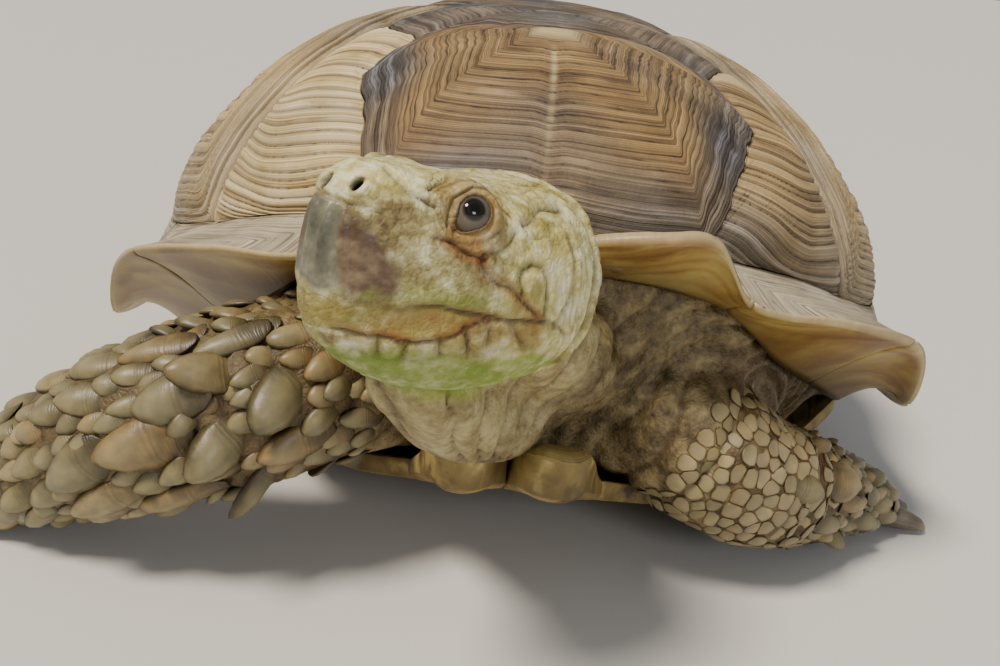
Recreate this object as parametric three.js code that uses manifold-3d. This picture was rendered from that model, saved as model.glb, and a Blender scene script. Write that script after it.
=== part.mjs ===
// A large adult sulcata tortoise, life size, resting on its plastron with the forelegs spread and the
// head raised and turned to its right. Millimetres, +Z up, facing -Y, its left side towards +X.
// Every horn plate of the shell is a solid of its own, made on one chart of the carapace, and the
// soft body is a head, neck, trunk, tail and four legs, made as lofts and parted by thin cuts.
import * as THREE from 'three';
import { mergeVertices } from 'three/addons/utils/BufferGeometryUtils.js';
import Module from 'manifold-3d';

const wasm = await Module();
wasm.setup();

// ---------------------------------------------------------------- driving dimensions
const APEX_Z = 285;          // top of the shell above the floor
const PLATE = 6;             // thickness of a carapace plate
const SEAM = 0.25;           // each plate keeps this far inside its seam lines
const GAP = 0.3;             // gap between parts of the soft body
const RIM_THICK = 9;         // thickness of a marginal plate at its middle
const RIM_LIP = 5;           // and at its rounded free edge
const LINING = 6.5;          // the trunk stays this far under the carapace, chords included,
const INNER_LIFT = 4;        // and this far above the plastron
const SPREAD = 0.77;         // the dome's meridians: how quickly they leave the top,
const DROP = { front: 0.95, side: 1.68, rear: 1.4 };   // and how early they fall towards the rim

// The rim on one side, by bearing from the nape (0) to the tail (180), in degrees. Each pair is a
// radius from the shell's axis and a height: the groove above the marginal plates, the bow that
// their outer face is drawn towards, their free edge, and the line where their underside meets skin.
const RIM = [
  { at: 0, groove: [314, 196], bow: [322, 196], edge: [328, 204], line: [299, 180] },
  { at: 9, groove: [313, 195], bow: [334, 198], edge: [348, 224], line: [301, 177] },
  { at: 14, groove: [306, 193], bow: [330, 196], edge: [343, 220], line: [305, 174] },
  { at: 19, groove: [299, 190], bow: [322, 180], edge: [334, 180], line: [308, 166] },
  { at: 30, groove: [286, 176], bow: [316, 166], edge: [332, 168], line: [290, 126] },
  { at: 43, groove: [274, 154], bow: [308, 146], edge: [331, 143], line: [270, 94] },
  { at: 58, groove: [269, 134], bow: [288, 112], edge: [307, 74], line: [264, 64] },
  { at: 72, groove: [260, 126], bow: [271, 100], edge: [272, 62], line: [253, 58] },
  { at: 92, groove: [250, 122], bow: [260, 96], edge: [258, 60], line: [243, 58] },
  { at: 113, groove: [262, 122], bow: [276, 96], edge: [275, 60], line: [258, 58] },
  { at: 132, groove: [287, 124], bow: [312, 98], edge: [322, 64], line: [290, 74] },
  { at: 158, groove: [312, 124], bow: [338, 94], edge: [346, 58], line: [312, 76] },
  { at: 180, groove: [318, 120], bow: [344, 92], edge: [332, 50], line: [312, 66] },
];

// Bearings of the seams between the marginal plates, and of the costal seams on the groove.
const MARGINAL_SEAMS = [0, 19, 41, 57, 71, 85, 99, 113, 126, 138, 151, 166];
const COSTAL_ENDS = [16, 43, 86, 116, 147];

// Seams over the top of the shell, as plan positions on its left side.
const VERTEBRAL_SEAMS = [[90, -140, -124], [73, -26, -34], [68, 86, 78], [54, 188, 198]];  // end x, end y, middle y
const VERTEBRAL_POINTS = [[113, -78], [109, 28], [98, 138]];   // where two costals meet a vertebral
const NAPE_SHOULDER = [[102, -240], [115, -184]];               // the first vertebral's outer corners
const VERTEBRAL_CENTRES = [[0, -198], [0, -80], [0, 26], [0, 138], [0, 226]];
const COSTAL_CENTRES = [[146, -132], [158, -42], [158, 70], [142, 156]];
const VERTEBRAL_LIFT = 6;                // how far a vertebral's centre stands above its seams,
const COSTAL_LIFTS = [16, 10, 8, 8];     // and each costal's, front to back
const LEAN = 0.027;          // the first vertebral's side seams both lie this far to the left, on the chart

const PLASTRON_THICK = 12;
const GULAR_RISE = 78;       // the gular prongs' underside above the floor
const GULAR_EXTRA = 16;      // and how much thicker than the other plates they are
const LONG_SIDE = 70;        // a plate's side is halved past this length
const POCKET = { rest: 8, depth: 22, width: 13, front: 50, rear: 128 };   // leg pockets, by bearing
const BRIDGE_RISE = 57;      // the bridges rise by this to meet the marginal plates
const ANAL_RISE = 12;        // and the last plates by this behind
const FLAT = { front: 150, frontRun: 195, side: 150, sideRun: 92, rear: 195, rearRun: 75 };  // the flat part's ends
const GULAR_NECK = -292;     // where the gular plates begin to thicken

// The head: where the beak's tip is, how far it turns to the right and is raised, and its sections from
// front to back as distance, half-width, top, bottom (from the line of the mouth) and squareness above.
const HEAD = {
  beak: [-79, -474, 213],
  turn: 39.7,
  raise: 6,
  sections: [
    [0, 4.5, 31, -4, 2.3],
    [4.5, 12, 38.5, -13, 2.4],
    [11, 17, 44, -19, 2.5],
    [22.5, 24.5, 46, -27, 2.9],
    [40.5, 34, 45, -35, 3.2],
    [58.5, 39.5, 42.5, -38, 2.9],
    [76.5, 43, 41.5, -38, 2.7],
    [93, 43.5, 42, -36, 2.7],
    [106, 42, 40.5, -32, 2.5],
    [117, 37, 34, -26, 2.4],
  ],
  eye: [43, 24.5, 34],
  eyeRadius: 8,
};

const NECK = [
  { at: [-23, -405, 200], wide: 34, high: 30 },
  { at: [-13, -374, 186], wide: 36, high: 33 },
  { at: [-7, -342, 160], wide: 41, high: 33 },
  { at: [-1, -300, 134], wide: 52, high: 36 },
  { at: [0, -258, 122], wide: 58, high: 40 },
];
const THROAT = [
  { at: [-49, -437, 185], wide: 21, high: 13 },
  { at: [-41, -414, 160], wide: 26, high: 20 },
  { at: [-28, -378, 134], wide: 27, high: 23 },
  { at: [-16, -334, 119], wide: 34, high: 25 },
  { at: [-5, -280, 114], wide: 44, high: 25 },
];
const TAIL = [
  { at: [0, 255, 50], wide: 26, high: 20 },
  { at: [0, 296, 40], wide: 24, high: 20 },
  { at: [6, 328, 27], wide: 18, high: 17 },
  { at: [20, 350, 17], wide: 12, high: 12 },
  { at: [38, 362, 9], wide: 5, high: 5 },
];

// Legs, from inside the body outwards. A heading is the way the claws point, in degrees from +X.
const LEGS = {
  foreleg_right: {
    stations: [
      { at: [-50, -244, 102], wide: 48, high: 44 },
      { at: [-93, -287, 106], wide: 48, high: 47 },
      { at: [-137, -314, 98], wide: 46, high: 48 },
      { at: [-187, -318, 77], wide: 44, high: 46 },
      { at: [-230, -307, 51], wide: 41, high: 38 },
      { at: [-259, -294, 26], wide: 38, high: 27 },
      { at: [-277, -288, 15], wide: 32, high: 17 },
    ],
    claws: { heel: [-253, -295, 0], heading: 168, reach: 24, length: 30, count: 5, spread: 22, thick: 8 },
  },
  foreleg_left: {
    stations: [
      { at: [67, -210, 92], wide: 46, high: 40 },
      { at: [94, -265, 88], wide: 48, high: 46 },
      { at: [132, -266, 64], wide: 44, high: 42 },
      { at: [173, -233, 44], wide: 42, high: 37 },
      { at: [206, -204, 29], wide: 38, high: 30 },
      { at: [230, -185, 20], wide: 35, high: 21 },
      { at: [242, -175, 14], wide: 28, high: 15 },
    ],
    claws: { heel: [216, -196, 0], heading: 44, reach: 26, length: 35, count: 5, spread: 22, thick: 9 },
  },
  hindleg_left: {
    stations: [
      { at: [90, 140, 70], wide: 46, high: 42 },
      { at: [138, 192, 66], wide: 46, high: 42 },
      { at: [174, 226, 48], wide: 42, high: 38 },
      { at: [190, 244, 34], wide: 38, high: 30 },
    ],
    foot: [
      { at: [176, 230, 56], wide: 36, high: 36 },
      { at: [190, 246, 28], wide: 38, high: 38 },
      { at: [197, 254, -4], wide: 40, high: 40 },
    ],
    claws: { heel: [197, 254, 0], heading: 20, reach: 28, length: 26, count: 4, spread: 26, thick: 9 },
  },
};
LEGS.hindleg_right = mirroredLeg(LEGS.hindleg_left);

// The same leg on the other side of the body.
function mirroredLeg({ stations, foot, claws: nails }) {
  const flip = (station) => ({ ...station, at: [-station.at[0], station.at[1], station.at[2]] });
  const heel = [-nails.heel[0], nails.heel[1], nails.heel[2]];
  return { stations: stations.map(flip), foot: foot.map(flip), claws: { ...nails, heel, heading: 180 - nails.heading } };
}

const COLOURS = {
  horn: 0x8f7450, rim: 0xa08c58, plastron: 0xb59a62, skin: 0x938a68, scale: 0xa39a78, head: 0xb5ab82, eye: 0x14100c,
};

// ---------------------------------------------------------------- meshes and solids
const vec = (x, y, z) => new THREE.Vector3(x, y, z);
const clamp01 = (t) => Math.min(1, Math.max(0, t));
const mix = (a, b, t) => a + (b - a) * t;
const smooth = (t) => clamp01(t) ** 2 * (3 - 2 * clamp01(t));
const power = (value, exponent) => Math.sign(value) * Math.abs(value) ** exponent;

// Joins rings of equal length into one closed body, each end closed by a fan about its own centre.
function closeRings(rings, firstCentre, lastCentre) {
  const count = rings[0].length;
  const points = [firstCentre, ...rings.flat(), lastCentre];
  const faces = [];
  for (let i = 0; i < count; i += 1) {
    const next = (i + 1) % count;
    faces.push(0, 1 + next, 1 + i);
    for (let k = 0; k + 1 < rings.length; k += 1) {
      const a = 1 + k * count;
      const b = a + count;
      faces.push(a + i, a + next, b + next, a + i, b + next, b + i);
    }
    const last = 1 + (rings.length - 1) * count;
    faces.push(last + i, last + next, points.length - 1);
  }
  return meshOf(points, faces);
}

function meshOf(points, faces) {
  const geometry = new THREE.BufferGeometry();
  geometry.setAttribute('position', new THREE.Float32BufferAttribute(points.flatMap((p) => [p.x, p.y, p.z]), 3));
  geometry.setIndex(faces);
  return outward(geometry);
}

// Turns a closed body's faces outward if its signed volume is negative.
function outward(geometry) {
  const position = geometry.attributes.position;
  const index = geometry.index.array;
  const corner = [vec(), vec(), vec()];
  let volume = 0;
  for (let i = 0; i < index.length; i += 3) {
    corner.forEach((c, k) => c.fromBufferAttribute(position, index[i + k]));
    volume += corner[0].dot(corner[1].cross(corner[2]));
  }
  if (volume < 0) {
    for (let i = 0; i < index.length; i += 3) {
      [index[i + 1], index[i + 2]] = [index[i + 2], index[i + 1]];
    }
  }
  return geometry;
}

function toSolid(geometry) {
  const bare = geometry.clone();
  bare.deleteAttribute('normal');
  bare.deleteAttribute('uv');
  const merged = mergeVertices(bare, 1e-4);
  return new wasm.Manifold(new wasm.Mesh({
    numProp: 3,
    vertProperties: new Float32Array(merged.attributes.position.array),
    triVerts: new Uint32Array(merged.index.array),
  }));
}

// The largest piece of a solid, as a geometry.
function toGeometry(solid) {
  const pieces = solid.decompose().sort((a, b) => b.volume() - a.volume());
  const { vertProperties, triVerts } = pieces[0].getMesh();
  const geometry = new THREE.BufferGeometry();
  geometry.setAttribute('position', new THREE.Float32BufferAttribute(vertProperties, 3));
  geometry.setIndex(Array.from(triVerts));
  return geometry;
}

// A solid block above the floor, for cutting soles flat.
const ABOVE_FLOOR = toSolid(new THREE.BoxGeometry(2000, 2000, 1000).translate(0, 0, 500));

const tortoise = new THREE.Group();
const shellCutters = [];     // every shell plate grown by GAP, which the soft body keeps clear of

function addPart(name, geometry, colour, roughness = 0.8) {
  geometry.deleteAttribute('normal');
  geometry.computeVertexNormals();
  const material = new THREE.MeshStandardMaterial({ color: colour, roughness, metalness: 0 });
  const mesh = new THREE.Mesh(geometry, material);
  mesh.name = name;
  tortoise.add(mesh);
  return mesh;
}

// Adds a shell plate made by shape(grow), and its grown cutter.
function addPlate(name, shape, colour, roughness) {
  addPart(name, shape(0), colour, roughness);
  shellCutters.push(toSolid(shape(GAP)));
}

// ---------------------------------------------------------------- the carapace's chart
// The rim at a bearing: a cubic through the stations above, even about the nape and the tail.
function rimAt(bearing) {
  const b = Math.abs(((bearing + 540) % 360) - 180);
  let i = 0;
  while (i + 2 < RIM.length && RIM[i + 1].at < b) {
    i += 1;
  }
  const [p, q] = [RIM[i], RIM[i + 1]];
  const span = q.at - p.at;
  const t = (b - p.at) / span;
  const slope = (k, key, axis) => {
    if (k === 0 || k === RIM.length - 1) {
      return 0;
    }
    return (RIM[k + 1][key][axis] - RIM[k - 1][key][axis]) / (RIM[k + 1].at - RIM[k - 1].at);
  };
  const value = (key, axis) => {
    const a = p[key][axis];
    const c = q[key][axis];
    const h = t * t * (3 - 2 * t);
    const rise = (t ** 3 - 2 * t * t + t) * slope(i, key, axis) + (t ** 3 - t * t) * slope(i + 1, key, axis);
    return a + (c - a) * h + span * rise;
  };
  const pair = (key) => ({ r: value(key, 0), z: value(key, 1) });
  return { groove: pair('groove'), bow: pair('bow'), edge: pair('edge'), line: pair('line') };
}

function dropAt(bearing) {
  const b = THREE.MathUtils.degToRad(bearing);
  return mix(Math.cos(b) > 0 ? DROP.front : DROP.rear, DROP.side, Math.abs(Math.sin(b)) ** 1.3);
}

const planOf = (bearing, r, z) => {
  const b = THREE.MathUtils.degToRad(bearing);
  return vec(r * Math.sin(b), -r * Math.cos(b), z);
};

// The dome over the chart's unit disc: its middle is the shell's top and its rim is the groove.
function domePoint(u, v) {
  const rho = Math.min(1, Math.hypot(u, v));
  const bearing = THREE.MathUtils.radToDeg(Math.atan2(u, -v));
  const { groove } = rimAt(bearing);
  const r = groove.r * Math.sin(rho * Math.PI / 2) ** SPREAD;
  const z = mix(groove.z, APEX_Z, Math.max(0, Math.cos(rho * Math.PI / 2)) ** dropAt(bearing));
  return planOf(bearing, r, z);
}

function domeNormal(u, v) {
  const scale = Math.min(1, 0.985 / Math.max(Math.hypot(u, v), 1e-6));
  const [a, b] = [u * scale, v * scale];
  const step = 0.01;
  const du = domePoint(a + step, b).sub(domePoint(a - step, b));
  const dv = domePoint(a, b + step).sub(domePoint(a, b - step));
  return du.cross(dv).normalize();
}

// The chart position of a place given in plan, and of a bearing on the groove.
function chartOf([x, y]) {
  const bearing = THREE.MathUtils.radToDeg(Math.atan2(x, -y));
  const share = Math.hypot(x, y) / rimAt(bearing).groove.r;
  const rho = Math.asin(share ** (1 / SPREAD)) * 2 / Math.PI;
  return onChart(bearing, rho);
}

function onChart(bearing, rho = 1) {
  const b = THREE.MathUtils.degToRad(bearing);
  return [rho * Math.sin(b), -rho * Math.cos(b)];
}

const mirrored = (places) => places.map(([u, v]) => [-u, v]).reverse();

// A seam's chart place, moved a little to the left on the front of the dome.
function leaned([u, v]) {
  const share = smooth(Math.abs(u) / 0.15) * smooth(-v / 0.4) * smooth((0.34 - Math.abs(u)) / 0.05);
  return [u + LEAN * (1 - u * u - v * v) * share, v];
}

// A line of chart places with extra ones between them, ends included.
function drawn(places, steps) {
  const line = [places[0]];
  for (let i = 1; i < places.length; i += 1) {
    for (let k = 1; k <= steps; k += 1) {
      const t = k / steps;
      line.push([mix(places[i - 1][0], places[i][0], t), mix(places[i - 1][1], places[i][1], t)]);
    }
  }
  return line;
}

// The groove between two bearings, with a place at every marginal seam and halfway between them.
function grooveLine(from, to) {
  const stops = MARGINAL_SEAMS.slice(1).filter((s) => s > from && s < to);
  const line = [onChart(from)];
  let last = from;
  for (const stop of [...stops, to]) {
    line.push(onChart((last + stop) / 2), onChart(stop));
    last = stop;
  }
  return line;
}

// Moves each point of a closed outline inwards along the surface, so that its sides move by `depth`.
function insetOutline(points, normals, centre, depth) {
  const side = (i, from, to) => normals[i].clone().cross(to.clone().sub(from)).normalize();
  const turn = Math.sign(points.reduce((sum, p, i) => sum + side(i, points.at(i - 1), p).dot(centre.clone().sub(p)), 0));
  return points.map((p, i) => {
    const mitre = side(i, points.at(i - 1), p).add(side(i, p, points[(i + 1) % points.length]));
    return p.clone().addScaledVector(mitre, turn * 2 * depth / Math.max(mitre.lengthSq(), 1));
  });
}

// One horn plate of the dome: its outer face swells towards its centre and its walls follow the seams.
function plateGeometry(outline, centre, lift, grow = 0) {
  const [cu, cv] = centre;
  const middle = domePoint(cu, cv);
  const up = domeNormal(cu, cv);
  const normals = outline.map(([u, v]) => domeNormal(u, v));
  const border = insetOutline(outline.map(([u, v]) => domePoint(u, v)), normals, middle, SEAM - 2 * grow);
  const ring = (share, height) => outline.map(([u, v]) => {
    const [pu, pv] = [mix(cu, u, share), mix(cv, v, share)];
    return domePoint(pu, pv).addScaledVector(domeNormal(pu, pv), height);
  });
  const swell = (share) => lift * (1 - share * share);
  const rings = [ring(0.4, swell(0.4)), ring(0.75, swell(0.75)), border];
  const depth = PLATE + grow;
  rings.push(border.map((p, i) => p.clone().addScaledVector(normals[i], -depth)), ring(0.5, -depth));
  return closeRings(rings, middle.clone().addScaledVector(up, lift), middle.clone().addScaledVector(up, -depth));
}

function addCarapace() {
  const ends = VERTEBRAL_SEAMS.map(([x, y]) => chartOf([x, y]));
  const middles = VERTEBRAL_SEAMS.map(([, , y]) => chartOf([0, y]));
  const points = VERTEBRAL_POINTS.map(chartOf);
  const shoulder = NAPE_SHOULDER.map(chartOf);
  const groove = COSTAL_ENDS.map((b) => onChart(b));
  // a seam between two vertebrals, from the left end to the right end
  const cross = (i) => {
    const bend = [ends[i][0] * 0.55, mix(middles[i][1], ends[i][1], 0.3)];
    return [ends[i], bend, middles[i], [-bend[0], bend[1]], [-ends[i][0], ends[i][1]]];
  };
  // the left side line of each vertebral, front to back
  const sides = [
    drawn([groove[0], shoulder[0], shoulder[1], ends[0]], 2),
    drawn([ends[0], points[0], ends[1]], 2),
    drawn([ends[1], points[1], ends[2]], 2),
    drawn([ends[2], points[2], ends[3]], 2),
    drawn([ends[3], groove[4]], 3),
  ];
  const closing = [...grooveLine(COSTAL_ENDS[4], 180)];
  const nape = [...grooveLine(0, COSTAL_ENDS[0])];
  sides.forEach((side, i) => {
    const back = i < 4 ? cross(i) : [...closing, ...mirrored(closing).slice(1)];
    const front = i > 0 ? cross(i - 1).reverse() : [...mirrored(nape), ...nape.slice(1)];
    const outline = [...side.slice(0, -1), ...back.slice(0, -1), ...mirrored(side).slice(0, -1), ...front.slice(0, -1)];
    const shape = (grow) => plateGeometry(outline.map(leaned), chartOf(VERTEBRAL_CENTRES[i]), VERTEBRAL_LIFT, grow);
    addPlate(`vertebral_${i + 1}`, shape, COLOURS.horn, 0.55);
  });
  const ribs = points.map((p, i) => drawn([p, groove[i + 1]], 4));
  const upper = [
    [...sides[0], ...sides[1].slice(1, 3)],
    [...sides[1].slice(2), ...sides[2].slice(1, 3)],
    [...sides[2].slice(2), ...sides[3].slice(1, 3)],
    [...sides[3].slice(2), ...sides[4].slice(1)],
  ];
  upper.forEach((top, i) => {
    const rear = i < 3 ? ribs[i] : [groove[4]];
    const low = grooveLine(COSTAL_ENDS[i], COSTAL_ENDS[i + 1]).reverse();
    const front = i > 0 ? [...ribs[i - 1]].reverse() : [groove[0]];
    const outline = [...top.slice(0, -1), ...rear.slice(0, -1), ...low.slice(0, -1), ...front.slice(0, -1)];
    for (const [side, sign] of [['left', 1], ['right', -1]]) {
      const places = (sign > 0 ? outline : mirrored(outline)).map(leaned);
      const [cu, cv] = chartOf(COSTAL_CENTRES[i]);
      const shape = (grow) => plateGeometry(places, [sign * cu, cv], COSTAL_LIFTS[i], grow);
      addPlate(`costal_${i + 1}_${side}`, shape, COLOURS.horn, 0.55);
    }
  });
}

// ---------------------------------------------------------------- marginal plates
// The closed section of the rim at a bearing, as radius and height pairs: down the outer face from the
// groove, round the free edge, back under to the skin line and up the inner wall.
function rimSection(bearing) {
  const { groove, bow, edge, line } = rimAt(bearing);
  const [start, pull, tip] = [groove, bow, edge].map((p) => new THREE.Vector2(p.r, p.z));
  const skin = new THREE.Vector2(line.r, line.z);
  const outer = (t) => start.clone().lerp(pull, t).lerp(pull.clone().lerp(tip, t), t);
  const inner = (t, depth) => {
    const along = outer(t + 0.02).sub(outer(t - 0.02)).normalize();
    return outer(t).add(new THREE.Vector2(along.y, -along.x).multiplyScalar(depth));
  };
  const hollow = inner(0.6, RIM_THICK).lerp(tip.clone().lerp(skin, 0.5), 0.35);
  const wall = inner(0.12, PLATE);
  return [outer(0.03), outer(0.35), outer(0.68), outer(0.93), tip, inner(0.95, RIM_LIP), hollow, skin, wall];
}

// A section with each corner moved away from its middle by half as much again as `grow`.
function swollen(section, grow) {
  const middle = section.reduce((sum, p) => sum.add(p), new THREE.Vector2()).divideScalar(section.length);
  return section.map((p) => p.clone().add(p.clone().sub(middle).setLength(grow * 1.5 + 1e-9)));
}

function marginalGeometry(from, to, steps, grow = 0) {
  const rings = [];
  const pull = (SEAM - 2 * grow) / 300 * 180 / Math.PI;
  for (let k = 0; k <= steps; k += 1) {
    const bearing = mix(from + pull, to - pull, k / steps);
    rings.push(swollen(rimSection(bearing), grow).map((p) => planOf(bearing, p.x, p.y)));
  }
  const count = rings[0].length;
  const faces = [];
  for (let k = 0; k < steps; k += 1) {
    for (let i = 0; i < count; i += 1) {
      const next = (i + 1) % count;
      const [a, b] = [k * count, (k + 1) * count];
      faces.push(a + i, b + i, b + next, a + i, b + next, a + next);
    }
  }
  const capOf = (bearing, base, isLast) => {
    const section = rimSection(bearing);
    const turn = Math.sign(THREE.ShapeUtils.area(section));
    for (const [a, b, c] of THREE.ShapeUtils.triangulateShape(section, [])) {
      const same = Math.sign(THREE.ShapeUtils.area([section[a], section[b], section[c]])) === turn;
      faces.push(...(same !== isLast ? [base + a, base + b, base + c] : [base + a, base + c, base + b]));
    }
  };
  capOf(from + pull, 0, false);
  capOf(to - pull, steps * count, true);
  return meshOf(rings.flat(), faces);
}

function addMarginals() {
  MARGINAL_SEAMS.slice(0, -1).forEach((from, i) => {
    const to = MARGINAL_SEAMS[i + 1];
    const steps = i < 3 ? 4 : 2;
    addPlate(`marginal_${i + 1}_left`, (grow) => marginalGeometry(from, to, steps, grow), COLOURS.rim, 0.6);
    addPlate(`marginal_${i + 1}_right`, (grow) => marginalGeometry(-to, -from, steps, grow), COLOURS.rim, 0.6);
  });
  const last = MARGINAL_SEAMS.at(-1);
  addPlate('supracaudal', (grow) => marginalGeometry(last, 360 - last, 4, grow), COLOURS.rim, 0.6);
}

// ---------------------------------------------------------------- plastron
// Height of the plastron's underside: flat on the floor in its middle, rising to the gular prongs in
// front, up the bridges at the sides and a little at the back.
function plastronZ(x, y) {
  const front = GULAR_RISE * clamp01((-y - FLAT.front) / FLAT.frontRun) ** 1.4;
  const bridge = BRIDGE_RISE * clamp01((Math.abs(x) - FLAT.side) / FLAT.sideRun) ** 1.5;
  const rear = ANAL_RISE * clamp01((y - FLAT.rear) / FLAT.rearRun) ** 1.5;
  return front + bridge + rear;
}

const plastronDepth = (y) => PLASTRON_THICK + GULAR_EXTRA * smooth((GULAR_NECK - y) / 55);

// A place where the bridge meets the inner wall of the marginal plates.
function bridgeEnd(bearing) {
  const { line } = rimAt(bearing);
  const end = planOf(bearing, line.r - 1.2, 0);
  return [end.x, end.y];
}

const PLASTRON = {
  gular: {
    outline: [[0, -298], [0, -330], [6, -346], [16, -357], [27, -359], [36, -352], [42, -338], [47, -316], [55, -298]],
    centre: [24, -328],
  },
  humeral: {
    outline: [[0, -208], [0, -298], [55, -298], [80, -284], [97, -252], [108, -215]],
    centre: [48, -250],
  },
  pectoral: {
    outline: [[0, -165], [0, -208], [108, -215], [138, -190], bridgeEnd(63), bridgeEnd(72), [120, -156]],
    centre: [128, -178],
  },
  abdominal: {
    outline: [[0, 68], [0, -165], [120, -156], bridgeEnd(72), bridgeEnd(82), bridgeEnd(92), bridgeEnd(102),
      bridgeEnd(112), [130, 100], [118, 78]],
    centre: [110, -30],
  },
  femoral: {
    outline: [[0, 178], [0, 68], [118, 78], [124, 120], [118, 165], [104, 200]],
    centre: [58, 128],
  },
  anal: {
    outline: [[0, 228], [0, 178], [104, 200], [92, 238], [66, 262], [38, 262], [16, 244]],
    centre: [48, 220],
  },
};

function plastronGeometry({ outline, centre }, sign, grow = 0) {
  const flat = drawnLoop(outline.map(([x, y]) => vec(x, y, 0)));
  const border = insetOutline(flat, flat.map(() => vec(0, 0, 1)), vec(...centre, 0), SEAM - 2 * grow);
  const level = (share, top) => border.map((p) => {
    const [x, y] = [mix(centre[0], p.x, share), mix(centre[1], p.y, share)];
    return vec(sign * x, y, plastronZ(x, y) + (top ? plastronDepth(y) + grow : -grow));
  });
  const [cx, cy] = centre;
  const base = plastronZ(cx, cy);
  const rings = [level(0.6, false), level(1, false), level(1, true), level(0.6, true)];
  return closeRings(rings, vec(sign * cx, cy, base - grow), vec(sign * cx, cy, base + plastronDepth(cy) + grow));
}

// A closed outline with a point added in the middle of each side over LONG_SIDE.
function drawnLoop(points) {
  return points.flatMap((p, i) => {
    const next = points[(i + 1) % points.length];
    return p.distanceTo(next) > LONG_SIDE ? [p, p.clone().lerp(next, 0.5)] : [p];
  });
}

function addPlastron() {
  for (const [name, plate] of Object.entries(PLASTRON)) {
    addPlate(`${name}_left`, (grow) => plastronGeometry(plate, 1, grow), COLOURS.plastron, 0.6);
    addPlate(`${name}_right`, (grow) => plastronGeometry(plate, -1, grow), COLOURS.plastron, 0.6);
  }
}

// ---------------------------------------------------------------- lofts for the soft body
// A closed tube through stations { at, wide, high }, where wide is the half-width across the path in
// plan and high the half-height; `grow` widens it all round, for cutting a neighbour with a gap.
function loft(stations, { sides = 14, steps = 2, up = vec(0, 0, 1), fullness = 2.2, grow = 0 } = {}) {
  const path = new THREE.CatmullRomCurve3(stations.map((s) => vec(...s.at)), false, 'centripetal');
  const count = (stations.length - 1) * steps;
  const rings = [];
  for (let k = 0; k <= count; k += 1) {
    const i = Math.min(Math.floor(k / steps), stations.length - 2);
    const t = k / steps - i;
    const size = (key) => mix(stations[i][key], stations[i + 1][key], smooth(t)) + grow;
    const centre = path.getPoint(k / count);
    const along = path.getTangent(k / count);
    const across = up.clone().cross(along).normalize();
    const rise = along.clone().cross(across).normalize();
    rings.push(Array.from({ length: sides }, (_, n) => {
      const angle = n / sides * Math.PI * 2;
      return centre.clone()
        .addScaledVector(across, size('wide') * power(Math.cos(angle), 2 / fullness))
        .addScaledVector(rise, size('high') * power(Math.sin(angle), 2 / fullness));
    }));
  }
  const cap = (t, out) => path.getPoint(t).addScaledVector(path.getTangent(t), out * (grow + 3));
  return closeRings(rings, cap(0, -1), cap(1, 1));
}

// ---------------------------------------------------------------- trunk
// How far the body wall is set back under the rim: deepest in the pockets where the legs come out.
const pocketDepth = (bearing) => {
  const b = Math.abs(((bearing + 540) % 360) - 180);
  const hollow = (at) => POCKET.depth * Math.exp(-(((b - at) / POCKET.width) ** 2));
  return POCKET.rest + hollow(POCKET.front) + hollow(POCKET.rear);
};

function trunkGeometry(grow = 0) {
  const bearings = Array.from({ length: 30 }, (_, i) => i * 12);
  const lift = INNER_LIFT - grow;
  const profile = bearings.map((bearing) => {
    const { line } = rimAt(bearing);
    const wall = rimSection(bearing).at(-1);
    const under = [0.3, 0.6, 0.8, 0.92].map((rho) => {
      const place = onChart(bearing, rho);
      return domePoint(...place).addScaledVector(domeNormal(...place), -(PLATE + LINING - grow));
    });
    const top = (r) => {
      const p = planOf(bearing, r, 0);
      return vec(p.x, p.y, plastronZ(p.x, p.y) + plastronDepth(p.y) + lift);
    };
    const side = top(line.r - 3);
    const shoulder = planOf(bearing, Math.min(wall.x, line.r) - 5 + grow, Math.max(wall.y - 10, side.z + 8));
    const hem = planOf(bearing, line.r - 4 + grow, Math.max(line.z + 2, side.z + 4));
    const foot = top(line.r - pocketDepth(bearing));
    foot.z = Math.max(foot.z, side.z);
    return [...under, shoulder, hem, foot, top(line.r * 0.7), top(line.r * 0.4)];
  });
  const rings = profile[0].map((_, k) => profile.map((points) => points[k]));
  const crown = domePoint(0, 0);
  crown.z -= PLATE + LINING - grow;
  return closeRings(rings, crown, vec(0, 0, PLASTRON_THICK + lift));
}

// ---------------------------------------------------------------- head
// Places on the head: back from the beak's tip, to its left, and up from the line of the mouth.
const headAxes = (() => {
  const turn = THREE.MathUtils.degToRad(HEAD.turn);
  const raise = THREE.MathUtils.degToRad(HEAD.raise);
  const back = vec(Math.sin(turn) * Math.cos(raise), Math.cos(turn) * Math.cos(raise), -Math.sin(raise));
  const left = vec(Math.cos(turn), -Math.sin(turn), 0);
  return { back, left, up: left.clone().cross(back).normalize() };
})();

function onHead(back, left, up) {
  return vec(...HEAD.beak)
    .addScaledVector(headAxes.back, back)
    .addScaledVector(headAxes.left, left)
    .addScaledVector(headAxes.up, up);
}

function headGeometry(grow = 0) {
  const sides = 20;
  const rings = [];
  for (let k = 0; k + 1 < HEAD.sections.length; k += 1) {
    const steps = k + 2 < HEAD.sections.length ? [0, 0.5] : [0, 0.5, 1];
    for (const t of steps) {
      const [back, wide, top, bottom, square] = HEAD.sections[k].map((v, j) => mix(v, HEAD.sections[k + 1][j], t));
      const middle = mix(bottom, top, 0.45);
      rings.push(Array.from({ length: sides }, (_, n) => {
        const angle = n / sides * Math.PI * 2;
        const reach = Math.sin(angle) > 0 ? top - middle : middle - bottom;
        const fullness = Math.sin(angle) > 0 ? square : 2.2;
        const x = (wide + grow) * power(Math.cos(angle), 2 / fullness);
        return onHead(back, x, middle + (reach + grow) * power(Math.sin(angle), 2 / fullness));
      }));
    }
  }
  const end = HEAD.sections.at(-1)[0];
  return closeRings(rings, onHead(-2 - grow, 0, 14), onHead(end + 5 + grow, 0, 0));
}

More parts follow.
